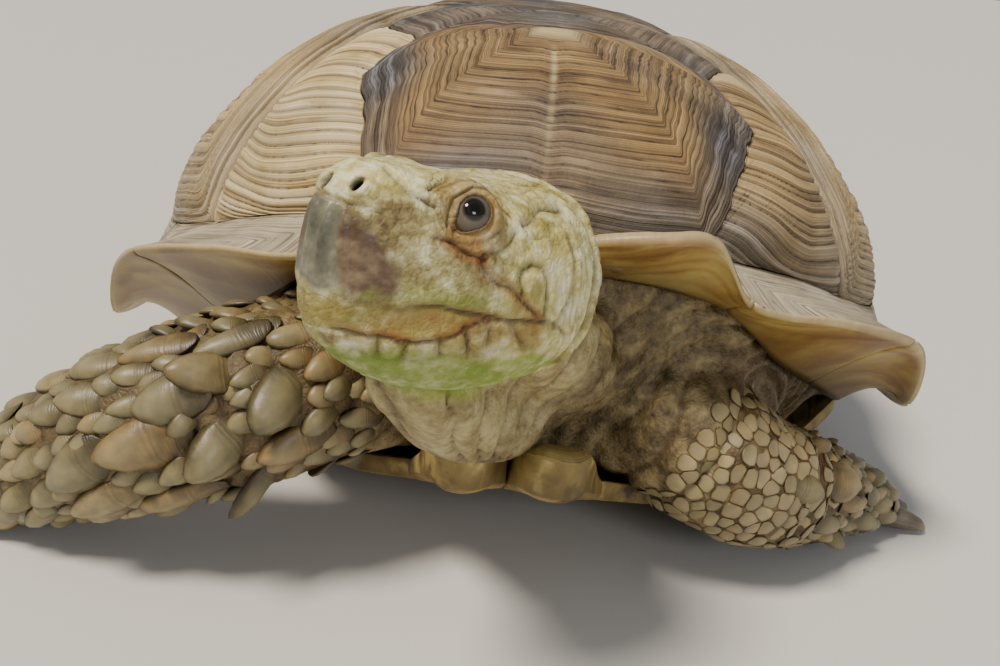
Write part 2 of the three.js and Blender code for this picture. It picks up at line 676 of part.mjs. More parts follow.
const eyeGeometry = (side, radius) => {
  const [back, left, up] = HEAD.eye;
  const geometry = new THREE.SphereGeometry(radius, 10, 7);
  geometry.translate(...onHead(back, side * left, up).toArray());
  return mergeVertices(stripped(geometry), 1e-4);
};

function stripped(geometry) {
  geometry.deleteAttribute('normal');
  geometry.deleteAttribute('uv');
  return geometry;
}

// ---------------------------------------------------------------- legs
// A claw from its root, tapering along a bent line to a blunt point.
function clawGeometry(root, tip, thick) {
  const bend = vec(...root).lerp(vec(...tip), 0.55);
  bend.z += thick * 0.35;
  return loft([
    { at: root, wide: thick, high: thick * 0.8 },
    { at: bend.toArray(), wide: thick * 0.8, high: thick * 0.62 },
    { at: tip, wide: thick * 0.3, high: thick * 0.28 },
  ], { sides: 5, steps: 1, fullness: 2 });
}

// Claws set round the front of a foot, fanned about its heading.
function claws({ heel, heading, reach, length, count, spread, thick }) {
  return Array.from({ length: count }, (_, i) => {
    const turn = THREE.MathUtils.degToRad(heading + spread * (i - (count - 1) / 2));
    const along = vec(Math.cos(turn), Math.sin(turn), 0);
    const root = vec(...heel).addScaledVector(along, reach);
    const tip = vec(...heel).addScaledVector(along, reach + length);
    root.z = thick + 3;
    tip.z = thick * 0.45;
    return clawGeometry(root.toArray(), tip.toArray(), thick);
  });
}

function legSolid(leg, grow = 0) {
  let solid = toSolid(loft(leg.stations, { sides: 12, steps: 2, fullness: 2.3, grow }));
  if (leg.foot) {
    solid = solid.add(toSolid(loft(leg.foot, { sides: 12, steps: 2, up: vec(0, -1, 0), grow })));
  }
  for (const claw of claws(leg.claws)) {
    solid = solid.add(toSolid(claw));
  }
  return solid.intersect(ABOVE_FLOOR);
}

// ---------------------------------------------------------------- assembly of the soft body
function addSoftBody() {
  const shell = wasm.Manifold.union(shellCutters);
  const trunk = toSolid(trunkGeometry()).subtract(shell);
  const trunkCutter = toSolid(trunkGeometry(GAP));
  const head = toSolid(headGeometry());
  const headCutter = toSolid(headGeometry(GAP));
  const sockets = [1, -1].map((side) => toSolid(eyeGeometry(side, HEAD.eyeRadius + GAP)));
  addPart('trunk', toGeometry(trunk), COLOURS.skin);
  addPart('head', toGeometry(head.subtract(sockets[0]).subtract(sockets[1])), COLOURS.head, 0.6);
  addPart('eye_left', eyeGeometry(1, HEAD.eyeRadius), COLOURS.eye, 0.1);
  addPart('eye_right', eyeGeometry(-1, HEAD.eyeRadius), COLOURS.eye, 0.1);

  const column = (grow) => toSolid(loft(NECK, { sides: 12, grow })).add(toSolid(loft(THROAT, { sides: 10, grow })));
  const neckCutter = column(GAP);
  addPart('neck', toGeometry(column(0).subtract(headCutter).subtract(trunkCutter).subtract(shell)), COLOURS.skin);
  const tail = toSolid(loft(TAIL, { sides: 12 })).subtract(trunkCutter).subtract(shell);
  addPart('tail', toGeometry(tail), COLOURS.skin);
  for (const [name, leg] of Object.entries(LEGS)) {
    const solid = legSolid(leg).subtract(trunkCutter).subtract(neckCutter).subtract(headCutter).subtract(shell);
    addPart(name, toGeometry(solid), COLOURS.scale);
  }
}

addCarapace();
addMarginals();
addPlastron();
addSoftBody();

// The origin is the middle of the whole body's footprint, on the floor.
const extent = new THREE.Box3().setFromObject(tortoise);
const middle = extent.getCenter(vec());
tortoise.position.set(-middle.x, -middle.y, -extent.min.z);

export default tortoise;
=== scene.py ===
"""A large adult sulcata tortoise, life size, resting on its plastron with the head raised.

Lengths are millimetres in the shell's own frame (the shell's axis upright at the origin, the floor at
zero, the animal facing -Y, its left towards +X) until place() turns a mesh into metres in the part's frame.
"""
import math

import bmesh
import bpy
import numpy as np
from mathutils import Matrix, Vector
from mathutils.bvhtree import BVHTree
from mathutils.kdtree import KDTree


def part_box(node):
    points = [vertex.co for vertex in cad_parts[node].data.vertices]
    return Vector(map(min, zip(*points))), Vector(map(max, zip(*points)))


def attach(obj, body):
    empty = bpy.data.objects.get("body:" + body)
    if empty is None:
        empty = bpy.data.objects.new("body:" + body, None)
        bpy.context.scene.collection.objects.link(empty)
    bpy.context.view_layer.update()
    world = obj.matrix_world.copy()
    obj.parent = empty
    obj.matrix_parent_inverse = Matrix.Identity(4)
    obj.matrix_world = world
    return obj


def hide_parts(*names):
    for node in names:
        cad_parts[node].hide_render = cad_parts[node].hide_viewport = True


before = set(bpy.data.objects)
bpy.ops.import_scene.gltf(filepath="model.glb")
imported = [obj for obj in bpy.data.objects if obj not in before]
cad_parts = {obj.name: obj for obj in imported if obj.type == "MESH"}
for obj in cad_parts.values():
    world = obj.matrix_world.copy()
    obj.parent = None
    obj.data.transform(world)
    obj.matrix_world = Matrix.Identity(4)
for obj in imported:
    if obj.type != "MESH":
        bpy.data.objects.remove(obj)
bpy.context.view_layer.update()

# ---------------------------------------------------------------- driving dimensions, as the solids have them
APEX_Z = 285.0               # top of the dome before its plates swell
PLATE = 6.0                  # thickness of a carapace plate
SEAM = 0.25                  # each plate keeps this far inside its seam lines
SPREAD = 0.77                # how quickly the dome's meridians leave the top
DROP_FRONT, DROP_SIDE, DROP_REAR = 0.95, 1.68, 1.4   # how early they fall towards the rim
RIM_THICK, RIM_LIP = 9.0, 5.0
RIM_REACH = 300.0            # the rim's usual distance from the axis
SWELLS = {"vertebral": (6, 6, 6, 6, 6), "costal": (14, 10, 8, 8)}      # how far a plate's middle stands up

# The rim by bearing from the nape: groove, bow, edge and skin line, each as radius and height.
RIM = np.array([
    [0, 314, 196, 322, 196, 328, 204, 299, 180],
    [9, 313, 195, 334, 198, 346, 216, 301, 177],
    [14, 306, 193, 330, 196, 341, 213, 305, 174],
    [19, 299, 190, 322, 180, 334, 180, 308, 166],
    [30, 286, 176, 316, 166, 332, 168, 290, 126],
    [43, 274, 154, 308, 146, 331, 143, 270, 94],
    [58, 269, 134, 288, 112, 307, 74, 264, 64],
    [72, 260, 126, 271, 100, 272, 62, 253, 58],
    [92, 250, 122, 260, 96, 258, 60, 243, 58],
    [113, 262, 122, 276, 96, 275, 60, 258, 58],
    [132, 287, 124, 312, 98, 322, 64, 290, 74],
    [158, 312, 124, 338, 94, 346, 58, 312, 76],
    [180, 318, 120, 344, 92, 332, 50, 312, 66],
], float)
MARGINAL_SEAMS = [0, 19, 41, 57, 71, 85, 99, 113, 126, 138, 151, 166]
COSTAL_ENDS = [16, 43, 86, 116, 147]
VERTEBRAL_SEAMS = [(90, -140, -124), (73, -26, -34), (68, 86, 78), (54, 188, 198)]   # end x, end y, middle y
VERTEBRAL_POINTS = [(113, -78), (109, 28), (98, 138)]
NAPE_SHOULDER = [(102, -240), (115, -184)]
LEAN = 0.027                 # the nape plate's side seams both lie this far to the left, on the chart

# Where growth began on each plate: its areola, in plan.
VERTEBRAL_AREOLAS = [(0, -150), (0, -84), (0, 26), (0, 138), (0, 222)]
COSTAL_AREOLAS = [(146, -132), (158, -42), (158, 70), (142, 156)]
# The front costals' rings run level from the nape, turn at a corner and go back to the next plate. Their
# corners lie on a curve: the slopes of the level and the rearward stretch, then the curve's start and bends.
CORNER_CURVES = {1: (0.38, 0.42, 0.36, 0.559, 0.25, 1.05), -1: (0.03, 0.22, 0.395, 0.44, 0.36, 0.33)}
FIRST_RING, LAST_RING = 0.22, {1: 0.95, -1: 1.0}

# ---------------------------------------------------------------- camera
CAMERA_AT = (-18.3, -799.7, 330.0)
CAMERA_YAW, CAMERA_PITCH, CAMERA_ROLL = 0.7, 20.5, 7.0     # degrees: to the right, down, and tilted
FOCAL_SHARE = 1.05                                        # focal length over the picture's width
SENSOR = 36.0

# ---------------------------------------------------------------- where the head stands
HEAD_TURN, HEAD_RAISE = 39.7, 6.0            # degrees: to its right, and up
HEAD_BEAK = np.array([-79.0, -474.0, 213.0])  # the beak's tip, level with the mouth
# The eye's middle: back from the beak, to the side and up. It ties the shell's frame to the part's frame.
EYE_PLACE = (43.0, 24.5, 34.0)


def unit(v):
    v = np.asarray(v, float)
    return v / np.maximum(np.linalg.norm(v, axis=-1, keepdims=True), 1e-9)


def mix(a, b, t):
    return a + (b - a) * t


def smooth(low, high, value):
    """0 below low, 1 above high and an even rise between."""
    t = np.clip((value - low) / (high - low), 0, 1)
    return t * t * (3 - 2 * t)


def fade(low, high, value):
    """1 below low, 0 above high."""
    return 1 - smooth(low, high, value)


def apart(a, b):
    """How far places lie from each other."""
    return np.linalg.norm(np.subtract(a, b), axis=-1)


def through_rows(table, slope, at):
    """A smooth curve through a table's rows, whose first column says where each row stands."""
    i = np.clip(np.searchsorted(table[:, 0], at, side="right") - 1, 0, len(table) - 2)
    span = (table[i + 1, 0] - table[i, 0])[..., None]
    t = np.clip((at - table[i, 0])[..., None] / span, 0, 1)
    start, end = table[i, 1:], table[i + 1, 1:]
    rise = (t ** 3 - 2 * t * t + t) * slope[i] + (t ** 3 - t * t) * slope[i + 1]
    return start + (end - start) * t * t * (3 - 2 * t) + span * rise


def waves(points, size, seed, count=9):
    """A smooth wandering value between about -1 and 1 at each point, with lumps of about `size`."""
    rng = np.random.default_rng(seed)
    heading = unit(rng.normal(size=(count, 3)))
    rate = 2 * math.pi / (size * rng.uniform(1.2, 2.6, count))
    phase = rng.uniform(0, 2 * math.pi, count)
    return np.sin(points @ (heading * rate[:, None]).T + phase).sum(-1) / math.sqrt(count) * 0.8


def head_axes():
    """The head's directions in the shell's frame: back, left and up."""
    turn, lift = math.radians(HEAD_TURN), math.radians(HEAD_RAISE)
    back = np.array([math.sin(turn) * math.cos(lift), math.cos(turn) * math.cos(lift), -math.sin(lift)])
    left = np.array([math.cos(turn), -math.sin(turn), 0.0])
    return np.stack([back, left, np.cross(left, back)])


HEAD_AXES = head_axes()


def on_head(places):
    """Places given as back, left and up on the head, in the shell's frame."""
    return HEAD_BEAK + np.asarray(places, float) @ HEAD_AXES


def from_beak(points):
    """Places of the shell's frame as back, left and up on the head."""
    return (points - HEAD_BEAK) @ HEAD_AXES.T


low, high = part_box("eye_left")
SHIFT = np.array(low + high) / 2 - on_head(EYE_PLACE) / 1000

# ---------------------------------------------------------------- making pieces
MERGE = 2e-5                 # metres: points of a mesh that lie nearer than this are one


def place(points):
    """Millimetres in the shell's frame as metres in the part's frame."""
    return np.asarray(points, float) / 1000 + SHIFT


def set_coordinates(mesh, points):
    mesh.vertices.foreach_set("co", place(points).astype(np.float32).ravel())
    mesh.update()


def give_values(mesh, values, shape):
    """Gives a mesh's points named values, each spread over the given shape."""
    for key, value in values.items():
        layer = mesh.attributes.new(key, "FLOAT", "POINT")
        layer.data.foreach_set("value", np.broadcast_to(value, shape).astype(np.float32).ravel())


def close_holes(bm):
    bmesh.ops.holes_fill(bm, edges=[e for e in bm.edges if e.is_boundary], sides=0)


def settle(bm, mesh):
    """Turns a body's faces outward, shades them smooth and stores them in its mesh."""
    bmesh.ops.recalc_face_normals(bm, faces=bm.faces)
    for face in bm.faces:
        face.smooth = True
    bm.to_mesh(mesh)
    bm.free()


def stand_up(name, data):
    """A mesh, a light or a camera as an object of the scene."""
    piece = bpy.data.objects.new(name, data)
    bpy.context.scene.collection.objects.link(piece)
    return piece


def settled_piece(name, mesh, merge=0.0):
    """A mesh as a piece with its faces outward, and where `merge` is given its doubles and holes closed."""
    bm = bmesh.new()
    bm.from_mesh(mesh)
    if merge:
        bmesh.ops.remove_doubles(bm, verts=bm.verts, dist=merge)
        close_holes(bm)
    settle(bm, mesh)
    return stand_up(name, mesh)


def grid_piece(name, points, values):
    """A skin over rows of points, merged where they meet, with a named value at each point.

    The columns run round a closed line, whose first point is repeated as the last.
    """
    rows, cols = points.shape[:2]
    bm = bmesh.new()
    bmesh.ops.create_grid(bm, x_segments=cols - 1, y_segments=rows - 1, size=1.0)
    mesh = bpy.data.meshes.new(name)
    bm.to_mesh(mesh)
    bm.free()
    set_coordinates(mesh, points)
    give_values(mesh, values, (rows, cols))
    return settled_piece(name, mesh, MERGE)


def finish_piece(piece, material, slot, *nodes):
    """Gives a piece its material, lets it ride on the body and stand for its nodes; `slot` is not used."""
    piece.data.materials.clear()
    piece.data.materials.append(material)
    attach(piece, "root")
    if nodes:
        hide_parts(*nodes)


# ---------------------------------------------------------------- materials


def srgb(code, alpha=1.0):
    """An sRGB hex colour as linear values."""
    channels = [int(code[i:i + 2], 16) / 255 for i in (0, 2, 4)]
    linear = [c / 12.92 if c <= 0.04045 else ((c + 0.055) / 1.055) ** 2.4 for c in channels]
    return (*linear, alpha)


def add(tree, kind, inputs=None, stops=(), out=None, **settings):
    """Adds a node with its settings, its input values or links, and its colour stops.

    Gives the output that `out` names, or else the first one in use.
    """
    made = tree.nodes.new("ShaderNode" + kind)
    for key, value in settings.items():
        setattr(made, key, value)
    for key, value in (inputs or {}).items():
        if isinstance(value, bpy.types.NodeSocket):
            tree.links.new(value, made.inputs[key])
        else:
            made.inputs[key].default_value = value
    for i, (at, code) in enumerate(stops):
        ramp = made.color_ramp.elements
        stop = ramp[i] if i < len(ramp) else ramp.new(at)
        stop.position = at
        stop.color = srgb(code)
    return made.outputs[out] if out else next(socket for socket in made.outputs if socket.enabled)


def start_material(name, roughness, specular=0.5, marks=""):
    """A new material, its tree, its main shader, and the pieces' own values that it reads."""
    material = bpy.data.materials.new(name)
    material.use_nodes = True
    tree = material.node_tree
    shader = tree.nodes["Principled BSDF"]
    shader.inputs["Roughness"].default_value = roughness
    shader.inputs["Specular IOR Level"].default_value = specular
    values = [add(tree, "Attribute", out="Fac", attribute_name=key) for key in marks.split()]
    return material, tree, shader, values


def lines_across(tree, field, rate, cloud, drift, detail):
    """Fine lines across a value that grows over the piece, about `rate` of them, wandering with a cloud."""
    run = add(tree, "Math", {0: field, 1: rate}, operation="MULTIPLY")
    at = add(tree, "Math", {0: cloud, 1: drift, 2: run}, operation="MULTIPLY_ADD")
    return add(tree, "TexNoise", {"W": at, "Scale": 1.0, "Detail": detail}, noise_dimensions="1D")


def cover(tree, shader, colour, relief, strength, depth):
    """Gives the main shader its colour and a relief, whose depth is in metres."""
    bump = add(tree, "Bump", {"Height": relief, "Strength": strength, "Distance": depth})
    tree.links.new(colour, shader.inputs["Base Color"])
    tree.links.new(bump, shader.inputs["Normal"])


def keratin_plate():
    """Weathered ringed keratin: growth lines of tan and cream, grooves and seams darkened with painted shade, smoky
    worn patches.
    """
    material, tree, shader, values = start_material(
        "Weathered ringed keratin", 0.58, 0.4, "ridge growth age pale tone")
    ridge, growth, age, pale, tone = values
    coords = add(tree, "TexCoord", out="Object")
    blotch = add(tree, "TexNoise", {"Vector": coords, "Scale": 34.0, "Detail": 6.0})
    years = lines_across(tree, growth, 16.0, blotch, 1.4, 1.0)
    seasons = lines_across(tree, growth, 150.0, blotch, 2.0, 2.0)
    wide = add(tree, "Mix", {0: 0.5, 2: years, 3: blotch})
    mixed = add(tree, "Mix", {0: 0.4, 2: wide, 3: seasons})
    brown, cream, grey = (add(tree, "ValToRGB", {"Fac": mixed}, stops) for stops in (
        [(0.32, "43311f"), (0.44, "735a3a"), (0.55, "9c7f52"), (0.7, "c6a974")],
        [(0.32, "94784a"), (0.44, "c2a871"), (0.55, "dfca9b"), (0.7, "f1e5c6")],
        [(0.32, "262320"), (0.48, "4d4a48"), (0.68, "85858a")],
    ))
    # painted shade: darker in the growth grooves, on the walls and along the seams, where the ridge value is low
    groove_shade = add(tree, "MapRange", {0: ridge, 1: 0.1, 2: 0.72, 3: 0.95, 4: 0.0})
    patch = add(tree, "TexNoise", {"Vector": coords, "Scale": 9.0, "Detail": 6.0})
    dust = add(tree, "MapRange", {0: patch, 1: 0.52, 2: 0.78, 3: 0.0, 4: 0.25})
    colour = brown
    for share, layer in (
        (tone, cream), (age, grey), (pale, srgb("e2cf9c")), (groove_shade, srgb("241910")),
        (dust, srgb("b9b09a")),
    ):
        colour = add(tree, "Mix", {0: share, 6: colour, 7: layer}, data_type="RGBA")
    grain = add(tree, "TexNoise", {"Vector": coords, "Scale": 420.0, "Detail": 4.0})
    relief = add(tree, "Math", {0: seasons, 1: 1.2, 2: grain}, operation="MULTIPLY_ADD")
    cover(tree, shader, colour, relief, 0.5, 0.0011)
    return material


def keratin_rim():
    """Waxy rim keratin: pale and grey-weathered on top, ochre beneath with burnt streaks, and painted shade
    darkening the underside towards the skin.
    """
    material, tree, shader, values = start_material(
        "Waxy rim keratin", 0.42, 0.5, "ridge growth under lip along root")
    ridge, growth, under, lip, along, root = values
    coords = add(tree, "TexCoord", out="Object")
    cloud = add(tree, "TexNoise", {"Vector": coords, "Scale": 26.0, "Detail": 6.0})
    lines = lines_across(tree, growth, 34.0, cloud, 2.4, 2.0)
    topside = add(tree, "Mix", {0: 0.5, 2: cloud, 3: lines})
    weathered = add(tree, "ValToRGB", {"Fac": topside}, [
        (0.3, "665c4c"), (0.45, "998d76"), (0.58, "bcb197"), (0.74, "d8cfb8")])
    skewed = add(tree, "Math", {0: root, 1: 0.9, 2: along}, operation="MULTIPLY_ADD")
    streaks = lines_across(tree, skewed, 5.0, cloud, 2.6, 1.0)
    burnt = add(tree, "Mix", {0: 0.28, 2: cloud, 3: streaks})
    ochre = add(tree, "ValToRGB", {"Fac": burnt}, [
        (0.34, "7b5626"), (0.45, "94723a"), (0.54, "a98e4c"), (0.66, "c0ab69")])
    # painted shade: the underside grows darker towards the skin
    shaded = add(tree, "MapRange", {0: root, 1: 0.45, 2: 1.0, 3: 0.0, 4: 0.8})
    beneath = add(tree, "Mix", {0: shaded, 6: ochre, 7: srgb("54401f")}, data_type="RGBA")
    # painted shade: darker in the growth grooves, towards the seams and on the underside, where the ridge value is
    # low
    groove_shade = add(tree, "MapRange", {0: ridge, 1: 0.0, 2: 0.75, 3: 0.75, 4: 0.0})
    colour = weathered
    for share, layer in ((under, beneath), (lip, srgb("c2b084")), (groove_shade, srgb("44331f"))):
        colour = add(tree, "Mix", {0: share, 6: colour, 7: layer}, data_type="RGBA")
    rough = add(tree, "MapRange", {0: under, 3: 0.62, 4: 0.36})
    tree.links.new(rough, shader.inputs["Roughness"])
    grain = add(tree, "TexNoise", {"Vector": coords, "Scale": 300.0, "Detail": 3.0})
    relief = add(tree, "Math", {0: lines, 1: 0.9, 2: grain}, operation="MULTIPLY_ADD")
    strength = add(tree, "MapRange", {0: under, 3: 0.5, 4: 0.12})
    cover(tree, shader, colour, relief, strength, 0.001)
    return material


# ---------------------------------------------------------------- the carapace's chart


def rim_at(bearing):
    """Groove, bow, edge and skin line at bearings in degrees, as eight values: radius and height of each."""
    slope = np.zeros_like(RIM[:, 1:])
    slope[1:-1] = (RIM[2:, 1:] - RIM[:-2, 1:]) / (RIM[2:, :1] - RIM[:-2, :1])
    return through_rows(RIM, slope, np.abs((np.asarray(bearing, float) + 540) % 360 - 180))


def in_plan(bearing, radius, height):
    b = np.radians(bearing)
    return np.stack([radius * np.sin(b), -radius * np.cos(b), height + 0 * b], -1)


def dome(place_uv):
    """The dome over the chart's unit disc: its middle is the shell's top and its rim is the groove."""
    u, v = place_uv[..., 0], place_uv[..., 1]
    rho = np.clip(np.hypot(u, v), 1e-6, 1)
    bearing = np.degrees(np.arctan2(u, -v))
    groove = rim_at(bearing)
    b = np.radians(bearing)
    ends = np.where(np.cos(b) > 0, DROP_FRONT, DROP_REAR)
    drop = mix(ends, DROP_SIDE, np.abs(np.sin(b)) ** 1.3)
    radius = groove[..., 0] * np.sin(rho * math.pi / 2) ** SPREAD
    height = mix(groove[..., 1], APEX_Z, np.clip(np.cos(rho * math.pi / 2), 0, 1) ** drop)
    return in_plan(bearing, radius, height)


def dome_normal(place_uv):
    rho = np.maximum(np.hypot(place_uv[..., 0], place_uv[..., 1]), 1e-6)
    inner = place_uv * np.minimum(1, 0.985 / rho)[..., None]
    step = np.array([0.01, 0.0])
    du = dome(inner + step) - dome(inner - step)
    dv = dome(inner + step[::-1]) - dome(inner - step[::-1])
    return unit(np.cross(du, dv))


def chart_of(plan):
    """The chart place of a place given in plan."""
    bearing = math.degrees(math.atan2(plan[0], -plan[1]))
    share = math.hypot(*plan) / rim_at(bearing)[0]
    return on_chart(bearing, math.asin(share ** (1 / SPREAD)) * 2 / math.pi)


def on_chart(bearing, rho=1.0):
    b = math.radians(bearing)
    return np.array([rho * math.sin(b), -rho * math.cos(b)])


def mirrored(places):
    return [np.array([-p[0], p[1]]) for p in reversed(places)]


def groove_line(start, end):
    return [on_chart(b) for b in np.linspace(start, end, max(2, int(abs(end - start) / 2)))]


def leaned(places):
    """Seam places moved a little to the left on the front of the dome, as on a shell that grew unevenly."""
    u, v = np.moveaxis(np.asarray(places, float), -1, 0)
    share = smooth(0, 0.15, np.abs(u)) * smooth(0, 0.4, -v) * smooth(0, 0.05, 0.34 - np.abs(u))
    return np.stack([u + LEAN * (1 - u * u - v * v) * share, v], -1)


def carapace_outlines():
    """The closed chart outline and the areola of each dome plate, by name."""
    ends = [chart_of(s[:2]) for s in VERTEBRAL_SEAMS]
    middles = [chart_of((0, s[2])) for s in VERTEBRAL_SEAMS]
    points = [chart_of(p) for p in VERTEBRAL_POINTS]
    shoulder = [chart_of(p) for p in NAPE_SHOULDER]
    groove = [on_chart(b) for b in COSTAL_ENDS]
    flip = np.array([-1, 1])

    def cross(i):
        bend = np.array([ends[i][0] * 0.55, mix(middles[i][1], ends[i][1], 0.3)])
        return [ends[i], bend, middles[i], bend * flip, ends[i] * flip]

    sides = [
        [groove[0], *shoulder, ends[0]],
        [ends[0], points[0], ends[1]],
        [ends[1], points[1], ends[2]],
        [ends[2], points[2], ends[3]],
        [ends[3], groove[4]],
    ]
    plates = {}
    for i, side in enumerate(sides):
        back = cross(i) if i < 4 else groove_line(COSTAL_ENDS[4], 360 - COSTAL_ENDS[4])
        front = cross(i - 1)[::-1] if i else groove_line(-COSTAL_ENDS[0], COSTAL_ENDS[0])
        outline = [*side[:-1], *back[:-1], *mirrored(side)[:-1], *front[:-1]]
        plates[f"vertebral_{i + 1}"] = (leaned(outline), chart_of(VERTEBRAL_AREOLAS[i]))
    uppers = [
        [*sides[0], points[0]],
        [points[0], ends[1], points[1]],
        [points[1], ends[2], points[2]],
        [points[2], *sides[4]],
    ]
    for i, upper in enumerate(uppers):
        low_line = groove_line(COSTAL_ENDS[i + 1], COSTAL_ENDS[i])
        outline = [*upper, *(low_line[1:] if i == 3 else low_line)[:-1]]
        if i:
            outline.append(groove[i])
        centre = chart_of(COSTAL_AREOLAS[i])
        plates[f"costal_{i + 1}_left"] = (leaned(outline), centre)
        plates[f"costal_{i + 1}_right"] = (leaned(mirrored(outline)), centre * flip)
    return plates


# ---------------------------------------------------------------- growth rings
RING_DEPTH = {"vertebral": 1.3, "costal": 2.8, "marginal": 1.0}      # depth of a growth groove
TABLE = 4096


def ring_table(count, seed):
    """Height over a plate from its areola (0) to its seam (1): old rings, each a rounded ridge.

    The rings crowd towards the seam, and some years are wider and stand prouder than others.
    """
    rng = np.random.default_rng(seed)
    wide = rng.uniform(0.6, 1.4, count)
    wide *= mix(1.15, 0.6, smooth(0.6, 1.0, np.linspace(0, 1, count)))
    ends = np.concatenate([[0], np.cumsum(wide)]) / wide.sum()
    proud = rng.uniform(0.65, 1.0, count)
    share = np.linspace(0, 1, TABLE)
    which = np.clip(np.searchsorted(ends, share, side="right") - 1, 0, count - 1)
    local = (share - ends[which]) / (ends[which + 1] - ends[which])
    ridge = np.clip(np.sin(local ** 0.85 * math.pi), 0, 1)
    return ridge ** 0.45 * proud[which] * (0.94 + 0.06 * np.cos(local * math.pi * 6))


def rings_at(growth, count, seed):
    """The rings' height at shares of a plate's growth."""
    return np.interp(np.clip(growth, 0, 1), np.linspace(0, 1, TABLE), ring_table(count, seed))


def edge_drop(distance, width):
    """How far a rounded border falls, as a share of its radius, at distances in from it."""
    return 1 - np.sqrt(1 - np.clip(1 - distance / width, 0, 1) ** 2 * 0.999)


def blended(sides, sharpness=14):
    """The largest of several growths, rounded where two of them meet."""
    return np.clip((np.clip(np.stack(sides), 0, None) ** sharpness).sum(0) ** (1 / sharpness), 0, 1)


def front_costal_growth(chart, sign):
    """Growth over a front costal: level rings from the nape that turn at the corner curve and go back."""
    slope, rearward, start, base, rise, bend = CORNER_CURVES[sign]
    u, v = np.abs(chart[..., 0]), chart[..., 1]
    forward = np.linspace(0.25, 1.5, 200)
    outward = base + rise * (forward - start) + bend * (forward - start) ** 2
    level = -v - slope * (u - 0.25)
    turned = np.interp(u - rearward * v, outward, forward)
    return blended([(q - FIRST_RING) / (LAST_RING[sign] - FIRST_RING) for q in (level, turned)], 8)


def costal_growth(chart, centre, outline):
    """Growth over the other costals: towards the rim and along the seams beside it, hardly upwards.

    Each side's rings run parallel to it, so they meet in corners on the plate's diagonals.
    """
    flip = np.array([np.sign(centre[0]), 1])
    flat, middle = chart * flip, centre * flip
    corners = [np.array(p) * flip for p in outline]
    rim_places = [p for p in corners if math.hypot(*p) > 0.999]
    tops = [p for p in corners if math.hypot(*p) < 0.999]

    def beyond(a, b):
        run = unit(b - a)
        out = np.array([run[1], -run[0]])
        near, far = (flat - a) @ out, (middle - a) @ out
        return np.clip(1 - near / far, 0, None) ** 0.75

    outward = 1 - (1 - np.hypot(flat[..., 0], flat[..., 1])) / (1 - math.hypot(*middle))
    behind = beyond(max(rim_places, key=lambda p: p[1]), max(tops, key=lambda p: p[1]))
    ahead = beyond(min(rim_places, key=lambda p: p[1]), min(tops, key=lambda p: p[1]))
    return blended([np.clip(outward, 0, None) ** 1.5, behind, ahead])


def evenly(outline, steps, spacing, least=0, over=None):
    """A closed outline as evenly spaced places, as measured over a surface or in plan."""
    corners = np.array([*outline, outline[0]], float)
    sides = [np.linspace(a, b, steps, endpoint=False) for a, b in zip(corners, corners[1:])]
    closed = np.concatenate([*sides, corners[:1]])
    run = over(closed) if over else closed
    length = np.concatenate([[0], np.cumsum(apart(run[1:], run[:-1]))])
    at = np.linspace(0, length[-1], max(least, int(length[-1] / spacing)), endpoint=False)
    return np.stack([np.interp(at, length, closed[:, k]) for k in (0, 1)], -1)


def eased(line):
    """A closed line with its corners eased a little."""
    return (np.roll(line, 1, 0) + 2 * line + np.roll(line, -1, 0)) / 4


def seam_line(outline, spacing):
    """A closed chart outline as a slightly wandering seam over the dome, its first place repeated."""
    line = eased(evenly(outline, 60, spacing, over=dome))
    wander = dome(line)
    inside = np.clip((1 - np.hypot(line[:, 0], line[:, 1])) / 0.04, 0, 1)[:, None]
    line = line + 0.0035 * inside * np.stack([waves(wander, 12, 3), waves(wander, 12, 4)], -1)
    return np.concatenate([line, line[:1]])


# A plate's wall and underside: share out from its areola, and share of its depth.
UNDER_ROWS = [(1.0, 0.35), (1.0, 0.7), (1.0, 1.0), (0.8, 1.0), (0.5, 1.0), (0.0, 1.0)]


def from_border(points, border, full_at):
    """0 on a plate's border, rounding up to 1 where its middle is `full_at` away, without any crease."""
    step = max(1, len(border) // 200)
    edge = border[::step]
    flat = points.reshape(-1, 3)
    square = (flat ** 2).sum(1)[:, None] + (edge ** 2).sum(1)[None, :] - 2 * flat @ edge.T
    girth = np.linalg.norm(np.diff(border, axis=0), axis=1).sum()
    near = (np.clip(square, 1.0, None) ** -2).mean(1) ** (-1 / 3) / (2 * girth / math.pi) ** (1 / 3)
    return 1 - (1 - np.clip(near / full_at, 0, 1).reshape(points.shape[:-1])) ** 2


